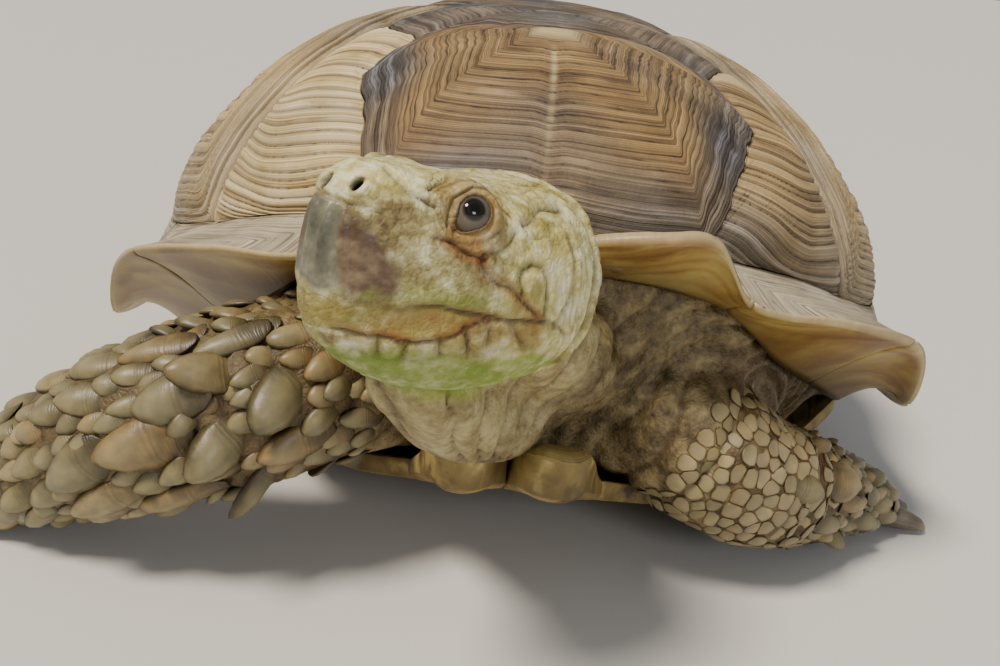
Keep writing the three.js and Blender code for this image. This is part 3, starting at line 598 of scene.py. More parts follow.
def dome_plate(name, outline, centre, spacing, rings, tone, seed):
    """One plate of the dome: ringed outer face, rounded border, walls and a plain underside."""
    kind, index = name.split("_")[0], int(name.split("_")[1])
    costal, nape = kind == "costal", name == "vertebral_1"
    border = seam_line(outline, spacing)
    reach = apart(dome(border), dome(centre))
    rows = int(reach.max() / spacing * 1.1)
    share = np.linspace(0, 1, rows)[:, None]
    inset = 1 - SEAM / reach
    chart = centre + (share * inset)[..., None] * (border - centre)
    base, up = dome(chart), dome_normal(chart)
    keel = 0 if costal else np.exp(-(base[..., 0] / 5) ** 2)
    if costal and index == 1:
        grown = front_costal_growth(chart, int(np.sign(centre[0])))
    else:
        grown = costal_growth(chart, centre, outline) if costal else share + 0 * base[..., 0]
    wavy = (0.012, 0.005) if costal else (0.008, 0.002)
    growth = grown + wavy[0] * waves(base, 60, seed)
    growth = growth + wavy[1] * waves(base, 16, seed + 1) * grown - 0.014 * keel
    growth = np.clip(growth, 0, 1)
    areola = fade(0.03, 0.14, grown) if nape else fade(0.05, 0.1, grown)
    ridge = mix(rings_at(growth, rings, seed), 0.9, areola)
    from_seam = (1 - share) * reach
    calm = smooth(0, 4, from_seam)
    full = from_border(base, dome(border), 62 if costal else 40) * smooth(0, 7, from_seam)
    height = SWELLS[kind][index - 1] * full + (ridge - 1) * RING_DEPTH[kind] * mix(0.6, 1, calm)
    height = height - 1.1 * edge_drop(from_seam, 1.5) + 0.6 * waves(base, 45, seed + 2) * calm
    top = base + up * height[..., None]
    walls = []
    for out, down in UNDER_ROWS:
        line = centre + (out * inset)[..., None] * (border - centre)
        depth = mix(height[-1], -PLATE, down) if out == 1 else np.full(len(line), -PLATE)
        walls.append(dome(line) + dome_normal(line) * depth[..., None])
    points = np.concatenate([top, np.stack(walls)])
    sideways = np.abs(unit(base - dome(centre))[..., 0])
    age = smooth(0.5, 0.85, growth) * mix(0.45, 1.0, sideways) * (1 - 0.85 * tone)
    age = age + (0.16 if costal else 0.42) * waves(base, 48, seed + 5)
    if index > 1 and not costal:
        age = 0.75 + 0.25 * waves(base, 40, seed + 6)
    line = np.exp(-(base[..., 0] / 1.6) ** 2) * nape * smooth(0.1, 0.2, share) * (1 - share)
    wear_and_highlight = 0.55 if nape else 0.45 if costal else 0.1
    pale = np.maximum(areola * wear_and_highlight, line * (0.5 + 0.4 * waves(base, 12, seed + 8)))

    def padded(field, rest):
        edge = np.full((len(walls), len(border)), rest)
        return np.concatenate([np.broadcast_to(field, base.shape[:2]), edge])

    values = {
        "ridge": padded(ridge * mix(0.6, 1, smooth(0, 1.2, from_seam)), 0.3),
        "growth": padded(growth, 1.0),
        "age": padded(np.clip(age, 0, 1), 0.8),
        "pale": padded(pale, 0.0),
        "tone": np.full(points.shape[:2], tone),
    }
    return grid_piece(name + "_horn", points, values)


def make_carapace(material):
    tones = {"costal_1_right": 1.0, "costal_1_left": 0.22}
    for i, (name, (outline, centre)) in enumerate(carapace_outlines().items()):
        vertebral = name.startswith("vertebral")
        spacing = 1.35 if name == "vertebral_1" or name.startswith("costal_1") else 2.0
        tone = tones.get(name, 0.0 if vertebral else 0.5)
        plate = dome_plate(name, outline, centre, spacing, 26 if vertebral else 22, tone, 40 + 7 * i)
        finish_piece(plate, material, "carapace_horn", name)


# ---------------------------------------------------------------- marginal plates
FACE_ROWS, UNDERSIDE_ROWS = 28, 15      # places down the rim's outer face, and back along its underside

def rim_section(bearing):
    """The rim's closed outline at bearings, from the groove down the outer face and back under.

    Gives the radius and height of its places, and for each its share down the outer face, how much it is
    underside, how much it is the free edge, and how far it lies back towards the skin.
    """
    gr, gz, br, bz, er, ez, lr, lz = np.moveaxis(rim_at(bearing), -1, 0)
    start, pull, tip, skin = (np.stack(p, -1) for p in ((gr, gz), (br, bz), (er, ez), (lr, lz)))

    def outer(t):
        return mix(mix(start, pull, t), mix(pull, tip, t), t)

    def inner(t, depth):
        along = unit(outer(t + 0.02) - outer(t - 0.02))
        return outer(t) + depth * np.stack([along[..., 1], -along[..., 0]], -1)

    hollow = mix(inner(0.6, RIM_THICK), mix(tip, skin, 0.5), 0.35)
    wall = inner(0.12, PLATE)
    lip_end = inner(0.93, RIM_LIP)
    line = [outer(t) for t in np.linspace(0.003, 0.97, FACE_ROWS)]
    line += [tip, inner(0.97, RIM_LIP * 0.55), lip_end]
    for t in np.linspace(0, 1, UNDERSIDE_ROWS)[1:]:
        line.append(mix(mix(lip_end, hollow, t), mix(hollow, skin, t), t))
    line += [mix(skin, wall, 0.5), wall]
    at = np.arange(len(line))
    down = np.interp(at, [0, FACE_ROWS - 1], [0, 1])
    under = np.interp(at - FACE_ROWS, [-2, -1, 0, 1, 2], [0, 0.2, 0.5, 0.8, 1])
    lip = 0.7 * np.exp(-((at - FACE_ROWS) / 1.4) ** 2)
    root = np.interp(at - FACE_ROWS - 2, [0, UNDERSIDE_ROWS - 1], [0, 1])
    return np.stack(line), down, under, lip, root


def rim_plate(name, start, end, seed):
    """One marginal plate: squarish growth rings on its outer face, smooth and faintly rayed beneath."""
    pull = math.degrees(SEAM / RIM_REACH)
    width = math.radians(abs(end - start)) * RIM_REACH
    steps = max(8, int(width / 2.2))
    share = np.linspace(0, 1, steps + 1)
    bearing = mix(start + pull, end - pull, share)
    section, down, under, lip, root = rim_section(bearing)
    points = np.moveaxis(in_plan(bearing, section[..., 0], section[..., 1]), 0, 1)
    middle = points.mean(1, keepdims=True)
    forward = share if start >= 0 and end <= 180 else 1 - share
    a = forward[:, None]
    across = np.where(a < 0.72, (0.72 - a) / 0.72, (a - 0.72) / 0.28)
    growth = np.maximum(across ** 1.6, 0.97 - down) + 0.014 * waves(points, 22, seed)
    ridge = rings_at(growth, 12, seed)
    outer = (1 - under) * smooth(0, 0.03, down) * smooth(0, 0.05, np.minimum(a, 1 - a))
    ridge = mix(1.0, ridge, outer)
    along = np.gradient(points, axis=1)
    sweep = np.gradient(points, axis=0)
    normal = unit(np.cross(sweep, along))
    normal *= np.sign(((points - middle) * normal).sum(-1).mean())
    raised = (ridge - 1) * RING_DEPTH["marginal"] + 0.4 * waves(points, 30, seed + 1)
    points = points + normal * raised[..., None]
    from_seam = np.minimum(share, 1 - share) * width
    points = points + unit(middle - points) * edge_drop(from_seam, 1.6)[:, None, None]
    points = np.concatenate([points, points[:, :1]], 1)
    values = {
        "ridge": ridge * mix(mix(0.45, 0.7, under), 1.0, smooth(0, 1.6, from_seam)[:, None]),
        "growth": np.clip(growth, 0, 1.2),
        "under": under,
        "lip": lip,
        "root": root,
        "along": a + seed,
    }
    for key, value in values.items():
        value = np.broadcast_to(value, ridge.shape)
        values[key] = np.concatenate([value, value[:, :1]], 1)
    return grid_piece(name + "_horn", points, values)


def make_rim(material):
    last = MARGINAL_SEAMS[-1]
    spans = {"supracaudal": (last, 360 - last)}
    for i, (start, end) in enumerate(zip(MARGINAL_SEAMS, MARGINAL_SEAMS[1:])):
        spans[f"marginal_{i + 1}_left"] = (start, end)
        spans[f"marginal_{i + 1}_right"] = (-end, -start)
    for i, (name, (start, end)) in enumerate(spans.items()):
        finish_piece(rim_plate(name, start, end, 300 + 5 * i), material, "rim_horn", name)


# ---------------------------------------------------------------- the soft body's driving stations
# Each station is a middle, a half-width across the path in plan and a half-height.
HEAD_SECTIONS = np.array([      # back from the beak's tip, half-width, top, bottom, squareness above
    [0, 4.5, 31, -4, 2.3],
    [4.5, 12, 38.5, -13, 2.4],
    [11, 17, 44, -19, 2.5],
    [22.5, 24.5, 46, -27, 2.9],
    [40.5, 34, 45, -35, 3.2],
    [58.5, 39.5, 42.5, -38, 2.9],
    [76.5, 43, 41.5, -38, 2.7],
    [93, 43.5, 42, -36, 2.7],
    [106, 42, 40.5, -32, 2.5],
    [117, 37, 34, -26, 2.4],
])
JAW_SQUARENESS = 2.2
WIDEST = 0.45                # the head is widest at this share of its height
NECK = [(-23, -405, 200, 34, 30), (-13, -374, 186, 36, 33), (-7, -342, 160, 41, 33),
        (-1, -300, 134, 52, 36), (0, -258, 122, 58, 40)]
THROAT = [(-49, -437, 185, 21, 13), (-41, -414, 160, 26, 20), (-28, -378, 134, 27, 23),
          (-16, -334, 119, 34, 25), (-5, -280, 114, 44, 25)]
TAIL = [
    (0, 255, 50, 26, 20), (0, 296, 40, 24, 20), (6, 328, 27, 18, 17), (20, 350, 17, 12, 12),
    (38, 362, 9, 5, 5),
]
LEGS = {
    "foreleg_right": [(-50, -244, 102, 48, 44), (-93, -287, 106, 48, 47), (-137, -314, 98, 46, 48),
                      (-187, -318, 77, 44, 46), (-230, -307, 51, 41, 38), (-259, -294, 26, 38, 27),
                      (-277, -288, 15, 32, 17)],
    "foreleg_left": [(67, -210, 92, 46, 40), (94, -265, 88, 48, 46), (132, -266, 64, 44, 42),
                     (173, -233, 44, 42, 37), (206, -204, 29, 38, 30), (230, -185, 20, 35, 21),
                     (242, -175, 14, 28, 15)],
    "hindleg_left": [(90, 140, 70, 46, 42), (138, 192, 66, 46, 42), (174, 226, 48, 42, 38), (190, 244, 34, 38, 30)],
}
FEET = {"hindleg_left": [(176, 230, 56, 36, 36), (190, 246, 28, 38, 38), (197, 254, -4, 40, 40)]}
for stations in (LEGS, FEET):
    stations["hindleg_right"] = [(-x, *rest) for x, *rest in stations["hindleg_left"]]
CLAWS = {       # heel, heading from +X in degrees, reach, length, count, spread in degrees, thickness
    "foreleg_right": ((-253, -295), 168, 24, 30, 5, 22, 8),
    "foreleg_left": ((216, -196), 44, 26, 35, 5, 22, 9),
    "hindleg_left": ((197, 254), 20, 28, 26, 4, 26, 9),
    "hindleg_right": ((-197, 254), 160, 28, 26, 4, 26, 9),
}
LEG_COAT, TAIL_COAT, NECK_COAT = 3.5, 2.5, 0.6     # how far the skin lies inside the solids
VOXEL = 4.6                  # the grid in which the body's parts merge
FLOOR_GAP = 0.3              # the skin stays this far above the floor
TUCK = 0.03                  # share by which hidden skin is drawn in towards the axis
DOME_TOP, LINING = 292.0, 14.0      # the dome that stray hidden points keep under, and how far inside the rim


def powered(value, power):
    return np.sign(value) * np.abs(value) ** power


class Limb:
    """A limb along a smooth curve through its stations, with places given by share along and angle."""

    def __init__(self, stations, shrink, upright=(0, 0, 1), fullness=2.3):
        self.at = np.array([s[:3] for s in stations], float)
        self.size = np.array([s[3:] for s in stations], float) - shrink
        self.upright = np.array(upright, float)
        self.fullness = fullness

    def middle(self, share):
        """The curve, drawn as a centripetal Catmull-Rom spline."""
        ends = [2 * self.at[0] - self.at[1], *self.at, 2 * self.at[-1] - self.at[-2]]
        p = np.array(ends)
        along = np.clip(np.asarray(share, float), 0, 1) * (len(self.at) - 1)
        i = np.minimum(along.astype(int), len(self.at) - 2)
        t = (along - i)[..., None]
        p0, p1, p2, p3 = (p[i + k] for k in range(4))
        gap = [np.linalg.norm(b - a, axis=-1)[..., None] ** 0.5 for a, b in ((p0, p1), (p1, p2), (p2, p3))]
        t1 = ((p1 - p0) / gap[0] - (p2 - p0) / (gap[0] + gap[1]) + (p2 - p1) / gap[1]) * gap[1]
        t2 = ((p2 - p1) / gap[1] - (p3 - p1) / (gap[1] + gap[2]) + (p3 - p2) / gap[2]) * gap[1]
        return p1 + t1 * t + (3 * (p2 - p1) - 2 * t1 - t2) * t ** 2 + (2 * (p1 - p2) + t1 + t2) * t ** 3

    def frame(self, share):
        tangent = unit(self.middle(np.minimum(share + 0.005, 1)) - self.middle(np.maximum(share - 0.005, 0)))
        across = unit(np.cross(self.upright, tangent))
        return tangent, across, np.cross(tangent, across)

    def surface(self, share, angle):
        """Places on the limb's skin; angle 0 is across, a quarter turn is on top."""
        share, angle = np.broadcast_arrays(np.asarray(share, float), np.asarray(angle, float))
        along = np.clip(share, 0, 1) * (len(self.at) - 1)
        i = np.minimum(along.astype(int), len(self.at) - 2)
        t = (along - i)[..., None]
        wide, high = np.moveaxis(mix(self.size[i], self.size[i + 1], t * t * (3 - 2 * t)), -1, 0)
        _, across, rise = self.frame(share)
        side, over = (powered(part, 2 / self.fullness) for part in (np.cos(angle), np.sin(angle)))
        return self.middle(share) + across * (wide * side)[..., None] + rise * (high * over)[..., None]

    def rows(self, spacing=3.0, sides=56):
        length = np.linalg.norm(np.diff(self.at, axis=0), axis=1).sum()
        share = np.linspace(0, 1, int(length / spacing))[:, None]
        rings = self.surface(share, np.linspace(0, 2 * math.pi, sides + 1)[None, :])
        ends = [self.middle(0.0) - self.frame(0.0)[0] * 3, self.middle(1.0) + self.frame(1.0)[0] * 3]
        caps = [np.broadcast_to(e, rings[:1].shape) for e in ends]
        return np.concatenate([caps[0], rings, caps[1]])


def head_section(back):
    """Half-width, top, bottom and squareness of the head at distances behind the beak's tip."""
    slope = np.gradient(HEAD_SECTIONS[:, 1:], HEAD_SECTIONS[:, 0], axis=0)
    return np.moveaxis(through_rows(HEAD_SECTIONS, slope, back), -1, 0)


def head_rows(sides=96):
    back = np.concatenate([[0, 0.8, 2], np.arange(4, 117, 1.5), [117]])
    wide, top, bottom, square = (v[:, None] for v in head_section(back))
    middle = mix(bottom, top, WIDEST)
    angle = np.linspace(0, 2 * math.pi, sides + 1)[None, :]
    above = np.sin(angle) > 0
    reach = np.where(above, top - middle, middle - bottom)
    full = 2 / np.where(above, square, JAW_SQUARENESS)
    side = wide * powered(np.cos(angle), full)
    over = middle + reach * powered(np.sin(angle), full)
    rings = on_head(np.stack([np.broadcast_to(back[:, None], side.shape), side, over], -1))
    caps = [np.broadcast_to(on_head(p), rings[:1].shape) for p in ((-2, 0, 14), (122, 0, 0))]
    return np.concatenate([caps[0], rings, caps[1]])


# ---------------------------------------------------------------- the skin
def coordinates(mesh):
    """A mesh's points in the shell's frame, in millimetres."""
    flat = np.empty(len(mesh.vertices) * 3, np.float32)
    mesh.vertices.foreach_get("co", flat)
    return (flat.reshape(-1, 3).astype(float) - SHIFT) * 1000


def directions(mesh):
    flat = np.empty(len(mesh.vertices) * 3, np.float32)
    mesh.vertex_normals.foreach_get("vector", flat)
    return flat.reshape(-1, 3).astype(float)


def applied(piece):
    """Bakes a piece's modifiers into a mesh of its own."""
    graph = bpy.context.evaluated_depsgraph_get()
    mesh = bpy.data.meshes.new_from_object(piece.evaluated_get(graph))
    old = piece.data
    piece.modifiers.clear()
    piece.data = mesh
    bpy.data.meshes.remove(old)


def relax(mesh, rounds, share=None):
    """Evens a mesh's points towards their neighbours, all alike or by a share of each."""
    points = coordinates(mesh)
    edges = np.empty(len(mesh.edges) * 2, np.int32)
    mesh.edges.foreach_get("vertices", edges)
    a, b = edges.reshape(-1, 2).T
    count = np.bincount(np.concatenate([a, b]), minlength=len(points))[:, None]
    weight = 0.5 if share is None else 0.5 * share[:, None]
    for k in range(rounds * 2):
        total = np.stack([
            np.bincount(a, points[b, j], len(points)) + np.bincount(b, points[a, j], len(points))
                          for j in range(3)], -1)
        step = total / np.maximum(count, 1) - points
        points = points + step * weight * (1 if k % 2 == 0 else -1.04)
    set_coordinates(mesh, points)


def rough_skin():
    """One closed body from the head, neck, throat, legs, tail and trunk, merged in small voxels."""
    limbs = [Limb(NECK, NECK_COAT), Limb(THROAT, NECK_COAT), Limb(TAIL, TAIL_COAT)]
    limbs += [Limb(s, LEG_COAT) for s in LEGS.values()]
    limbs += [Limb(s, LEG_COAT, upright=(0, -1, 0)) for s in FEET.values()]
    bodies = [grid_piece("skin_part", limb.rows(), {}) for limb in limbs]
    bodies.append(grid_piece("skin_part", head_rows(), {}))
    bm = bmesh.new()
    for body in bodies:
        bm.from_mesh(body.data)
        bpy.data.objects.remove(body)
    inner = bmesh.new()
    inner.from_mesh(bpy.data.objects["trunk"].data)
    bmesh.ops.remove_doubles(inner, verts=inner.verts, dist=1e-5)
    bmesh.ops.recalc_face_normals(inner, faces=inner.faces)
    trunk = bpy.data.meshes.new("trunk_copy")
    inner.to_mesh(trunk)
    inner.free()
    bm.from_mesh(trunk)
    mesh = bpy.data.meshes.new("skin")
    bm.to_mesh(mesh)
    bm.free()
    skin = stand_up("skin", mesh)
    remesh = skin.modifiers.new("merge", "REMESH")
    remesh.mode = "VOXEL"
    remesh.voxel_size = VOXEL / 1000
    applied(skin)
    return skin


def hidden(points):
    """Whether a place lies well under the carapace or above the plastron, out of sight for good."""
    x, y, z = points.T
    rim = rim_at(np.degrees(np.arctan2(x, -y)))
    inside = np.hypot(x, y) < rim[..., 6] - 28
    deep = np.hypot(x, y) < rim[..., 6] - 62
    return (inside & (z > rim[..., 7] + 12)) | (deep & (z > 20) & (z < 60) & (np.abs(y) < 120))


def trim_skin(skin):
    """Takes the buried part of the body away, closes it again and makes the head's faces finer."""
    points = coordinates(skin.data)
    gone = hidden(points)
    back, side, up = from_beak(points).T
    near_head = (back > -8) & (back < 112) & (np.abs(side) < 60) & (up > -44) & (up < 60)
    collar = (points[:, 1] < -212) & (points[:, 0] > -85) & (points[:, 0] < 168) & (points[:, 2] > 32)
    finest = near_head & (back < 104) & (up > -32) & ((side > -12) | (back < 62))
    eye = apart(np.stack([back, np.abs(side), up], -1), BALL_PLACE) < 19
    keen = (eye & (side > 0)) | ((back < 20) & (up > 26))
    bm = bmesh.new()
    bm.from_mesh(skin.data)
    bm.verts.ensure_lookup_table()
    marks = [bm.verts.layers.int.new(n) for n in ("fine", "finest", "keen")]
    for mark, chosen in zip(marks, (near_head | collar, finest, keen)):
        for vert, yes in zip(bm.verts, chosen):
            vert[mark] = int(yes)
    buried = [f for f in bm.faces if all(gone[v.index] for v in f.verts)]
    bmesh.ops.delete(bm, geom=buried, context="FACES")
    close_holes(bm)
    for mark in marks:
        edges = [e for e in bm.edges if all(v[mark] for v in e.verts)]
        bmesh.ops.subdivide_edges(bm, edges=edges, cuts=1, use_grid_fill=True)
    bmesh.ops.triangulate(bm, faces=[f for f in bm.faces if len(f.verts) > 4])
    settle(bm, skin.data)


# ---------------------------------------------------------------- sculpting the head
# Places on the head are back from the beak's tip, left and up from the line of the mouth.
BALL_PLACE, BALL_RADIUS = np.array([44.8, 24.0, 32.8]), 9.0
EYE_AXIS = unit([-0.5, 0.78, 0.33])     # square to the lids' opening
IRIS_AXIS = unit([-0.505, 0.73, 0.46])
EYE_FRONT = unit(np.cross(np.cross(EYE_AXIS, [-1, 0, 0]), EYE_AXIS))
EYE_TOP = np.cross(EYE_FRONT, EYE_AXIS) * np.sign(np.cross(EYE_FRONT, EYE_AXIS)[2])
# The lids' opening: by turn round the eye's axis (0 in front, a quarter turn on top), its reach.
OPENING = np.array([(-2.4, 5.6), (-1.57, 5.5), (-1.05, 6.7), (-0.65, 7.6), (-0.25, 6.3), (0.15, 5.3), (0.8, 5.3),
                    (1.6, 5.8), (2.4, 6.2), (3.0, 6.4)])
# Folds round the eye: towards the front and the top from the middle of the opening, and how deep each is.
LID_FOLDS = [
    [(9.7, -3.7), (8.2, 0.8), (5.6, 5.6), (-0.8, 8.4), (-6.7, 7.7), (-12.7, 3.3), (-16.4, -1.6)],
    [(15.7, 2.6), (14.2, 6.7), (9.7, 9.8), (3.0, 11.8), (-2.2, 12.0), (-8.2, 10.4)],
    [(9.5, -8.6), (3.0, -10.2), (-4.5, -9.6), (-9.6, -6.8)],
]
FOLD_DEPTHS = (1.2, 0.6, 0.5)
# How far the beak's bare horn reaches back, by height.
BEAK_REAR = np.array([(-2, 15), (6, 19), (12, 19), (18, 18), (22, 15), (26, 9), (31, 5), (34, 3)])
# The mouth, the lower lip's edge and the scales of the jaw: back and up.
MOUTH = np.array([[-5, 1], [19, 1], [26, 2], [33, 3], [40, 2], [48, 0.5], [56, -0.5], [66, -0.8], [77, -1.5]])
LOWER_LIP = np.array([
    [-5, -9], [13, -9], [24, -11], [30, -10.5], [36, -8.5], [42, -4.5], [46, -2.2], [50, -0.8],
])
JAW_SPLITS = [[(17, -10), (20, -17)], [(25, -11), (27, -18)], [(35, -9), (37.5, -15)], [(42, -4), (46, -13)],
              [(50, -1), (54, -12)], [(58, -1), (68, -11)]]
JAW_HEM = [(13, -16), (21, -18), (28, -18.5), (37, -15.5), (46, -13.5), (58, -12), (72, -12)]
CHEEK_LINES = [          # grooves between the large scales of the cheek and the temple: back and up
    [(45, 22), (44, 19), (46, 16), (50, 13.5), (56, 11), (62, 6), (67, 3), (72, 0)],
    [(74, 0), (74.5, 7), (74, 13), (71, 17), (66, 18.5), (61.5, 17), (60, 13.5), (62, 8)],
    [(45, 22), (53, 23.5), (57, 26), (60, 29)],
    [(29, 26), (33, 24), (39, 21.5), (45, 20.5)],
    [(64, 31), (73, 33), (80, 36), (91, 36.5)],
    [(77, -1.5), (84, -4), (90, -9)],
    [(86, 28), (88, 16), (86, 4), (80, -4)],
]
NOSTRILS = [((9.0, 7.3, 38.9), 1.15), ((5.2, -4.0, 38.0), 0.62)]     # middle, and how narrow it is
# Soft swellings of brow, cheek, jaw and temple: middle, height and half-width.
SWELLINGS = [((51, 19, 45), 2.4, 8), ((62, 40, 4), 1.0, 12), ((67, 40, 13), 1.0, 6), ((86, 38, 24), 1.2, 12)]
# Grooves on the nose and the crown: back, left and up.
NOSE_LINES = [[(17, 1, 45), (20, 6, 45), (19, 12, 42), (21, 17, 39), (25, 20, 37), (29, 23, 35)],
              [(29, 19, 40), (34, 18, 42), (41, 16, 43.5)],
              [(83, 12, 41), (95, 14, 41), (98, 20, 39), (100, 24, 37)]]


def to_line(points, line):
    """The distance from each point to a broken line, in as many dimensions as it has."""
    line = np.asarray(line, float)
    nearest = np.full(len(points), np.inf)
    for a, b in zip(line, line[1:]):
        run = b - a
        t = np.clip(((points - a) @ run) / (run @ run), 0, 1)
        nearest = np.minimum(nearest, np.linalg.norm(points - a - t[:, None] * run, axis=-1))
    return nearest


def groove(distance, width):
    return np.exp(-(distance / width) ** 2)


def pleats(run, period):
    """0 in each of a row of folds and 1 between them."""
    return np.abs(np.sin(math.pi * run / period))


def cells(points, size, seed, flat=(1, 1, 1)):
    """How near each point is to the border between irregular cells: 1 on it, 0 inside a cell."""
    rng = np.random.default_rng(seed)
    scaled = points / (size * np.asarray(flat, float))
    base = np.floor(scaled).astype(int)
    near = np.full((2, len(points)), np.inf)
    for step in np.ndindex(3, 3, 3):
        cell = base + np.array(step) - 1
        key = (cell @ np.array([73856093, 19349663, 83492791]) + seed * 7919) % 4093
        spots = rng.permuted(np.linspace(0.1, 0.9, 4093)) if step == (0, 0, 0) else spots
        offset = np.stack([spots[key], spots[(key * 31 + 7) % 4093], spots[(key * 57 + 13) % 4093]], -1)
        gap = np.linalg.norm(cell + offset - scaled, axis=-1)
        closer = gap < near[0]
        near[1] = np.where(closer, near[0], np.minimum(near[1], gap))
        near[0] = np.where(closer, gap, near[0])
    return 1 - smooth(0.0, 0.22, near[1] - near[0])


def onto_sections(h):
    """Places near the head moved straight out or in to its true sections."""
    back, side, up = h.T
    wide, top, bottom, square = head_section(back)
    middle = mix(bottom, top, WIDEST)
    above = up > middle
    reach = np.where(above, top - middle, middle - bottom)
    full = np.where(above, square, JAW_SQUARENESS)
    value = np.abs(side / wide) ** full + np.abs((up - middle) / reach) ** full
    scale = np.clip(value, 1e-6, None) ** (-1 / full)
    sure = smooth(3, 9, back) * fade(96, 110, back) * (np.abs(scale - 1) < 0.16)
    scale = 1 + (scale - 1) * sure
    return np.stack([back, side * scale, middle + (up - middle) * scale], -1)


def wrapped(places):
    """Places on the head's upper half unrolled: back, and the turn from its side to its top."""
    back, left, up = np.moveaxis(np.asarray(places, float), -1, 0)
    return np.stack([back, 34 * np.arctan2(up - 8, left)], -1)


def sculpt_head(h, normal):
    """Lids, sockets, nostrils, beak, mouth, scales and folds as moves of the head's points.

    Takes and gives places as back, left and up; also gives the markings that the material reads.
    """
    back, side, up = h.T
    left = np.abs(side)
    even = np.stack([back, left, up], -1)
    flank = even[:, [0, 2]]
    on_it = (back > -8) & (back < 118) & (up > -42) & (up < 56) & (left < 56)
    form = np.zeros((2, len(h)))        # how far each point moves out, and how much painted shade darkens it in a crease

    def cut(where, depth, dark):
        form[0] -= depth * where
        form[1] = np.maximum(form[1], dark * where)

    def seam(distance, where):
        deep = 0.85 + 0.35 * waves(h, 12, 25)
        cut(groove(distance, 1.2) * where * deep, 1.0, 0.55)
        cut(groove(distance, 0.5) * where * deep, 0.5, 1.0)
        form[0] += 0.4 * groove(distance - 2.8, 1.6) * where

    # The top dips behind the nose, the brow stands over the eye and the cheek is full behind it.
    form[0] -= 1.2 * groove(np.hypot(back - 31, left * 0.5), 9) * (up > 30)
    for middle, height, width in SWELLINGS:
        form[0] += height * groove(apart(even, middle), width)

    # The beak: rounded ridges down its front, an arched upper edge under the nose and a soft rear side.
    line = np.interp(back, *MOUTH.T)
    arch = 34.2 - 0.012 * left ** 2 + 0.5 * waves(h, 6, 12)
    ragged = 2.4 * waves(h, 8, 13) + 1.2 * waves(h, 3, 14)
    beak = 1 - smooth(-7, 5, back - np.interp(up, *BEAK_REAR.T) + ragged * fade(22, 32, up))
    beak *= fade(-1.2, 1.2, up - arch) * smooth(-1, 10, up - line + 1.5 * waves(h, 5, 15))
    spread = left / (1 + 0.02 * (30 - up))
    front = fade(10, 18, back) * smooth(0, 6, up) * fade(28, 34, up)
    for at, height, width in ((2.6, 1.0, 1.0), (5.2, -0.8, 1.3), (8.0, 0.9, 1.1)):
        form[0] += front * height * groove(spread - at, width)
    cut(groove(up - arch, 0.9) * fade(10, 16, back), 0.9, 0.35)
    form[0] += 0.7 * groove(up - arch - 4.0, 3.0) * fade(12, 20, back)

    # The mouth: hardly open in front, then the lower beak's edge, and the jaw's scales beneath it.
    wander = 0.6 * np.stack([waves(h, 7, 21), waves(h, 7, 22)], -1)
    below = line - up + 0.4 * waves(h, 9, 23)
    closed = 1 - smooth(76, 79, back)
    cut(groove(below, 0.8) * mix(0.1, 1.0, smooth(6, 40, back)) * closed, 1.9, 1.0)
    gape = smooth(-0.5, 1.5, below) * fade(6, 11, below)
    form[0] -= 0.9 * gape * fade(42, 58, back) * smooth(8, 20, back)
    lip = np.interp(back, *LOWER_LIP.T) + wander[:, 1]
    cut(groove(up - lip, 0.75) * fade(49, 52, back) * smooth(5, 11, back + 0.3 * left), 1.3, 0.95)
    for split in JAW_SPLITS:
        seam(to_line(flank + 0.5 * wander, split), left > 8)
    cut(groove(to_line(flank + wander, JAW_HEM), 0.9) * (left > 8), 0.5, 0.3)

    # Scale borders on the cheek, the nose and the top of the head, each a fine cut darkened with painted shade.
    for places in CHEEK_LINES:
        seam(to_line(flank + 1.2 * wander, places), left > 12)
    for places in NOSE_LINES:
        seam(to_line(wrapped(even) + 0.5 * waves(h, 7, 24)[:, None], wrapped(places)), up > 20)
    crown = smooth(37, 42, up) * smooth(26, 34, back) + smooth(58, 68, back) * smooth(18, 26, up) * 0.7
    tiles = cells(even + 1.4 * waves(h, 8, 5)[:, None], 9.5, 3) ** 3
    cut(tiles * np.clip(crown, 0, 1) * fade(94, 102, back), 0.55, 0.5)

    # Nostrils: upright holes painted near-black as painted shade, with a soft swelling round each.
    hole = np.full(len(h), 99.0)
    for middle, narrow in NOSTRILS:
        away = h - middle
        down, out = away @ [-0.55, 0, -0.835], away @ [-0.835, 0, 0.55]
        shape = np.stack([away[:, 1] * narrow, down * 0.5, out * 0.5], -1)
        hole = np.minimum(hole, np.linalg.norm(shape, axis=-1))
    form[0] -= 4.5 * fade(0.9, 1.9, hole)
    form[0] += 0.5 * groove(hole - 2.8, 1.0)

    # Loose skin: upright wrinkles behind the cheek, a double fold along the rear edge, creases on the throat.
    rear = smooth(78, 88, back) * fade(101, 106, back)
    rear = rear * fade(18, 32, up) * smooth(-30, -20, up)
    pleat = pleats(back + 0.16 * up + 1.8 * waves(h, 22, 31), 4.4)
    cut(rear * fade(0.0, 0.4, pleat), 0.7, 0.55)
    edge = back - 102.5 + 0.0035 * (up - 16) ** 2 - 1.0 * waves(h, 24, 33)
    cut(groove(edge, 1.3) * (up > -26), 2.0, 0.85)
    form[0] += 1.8 * groove(edge - 4.2, 2.2) * (up > -30)
    cut(groove(edge - 8.2, 1.2) * (up > -30), 1.6, 0.8)
    throat = 1 - smooth(-22, -15, up)
    folds = pleats(up + 0.35 * back + 2.4 * waves(h, 30, 41), 8.0)
    cut(throat * fade(0.0, 0.4, folds), 0.6, 0.12)
    form[0] += (0.14 * waves(h, 6, 51) + 0.08 * waves(h, 2.6, 52)) * (1 - beak)

    moved = h + normal * (form[0] * on_it)[:, None]

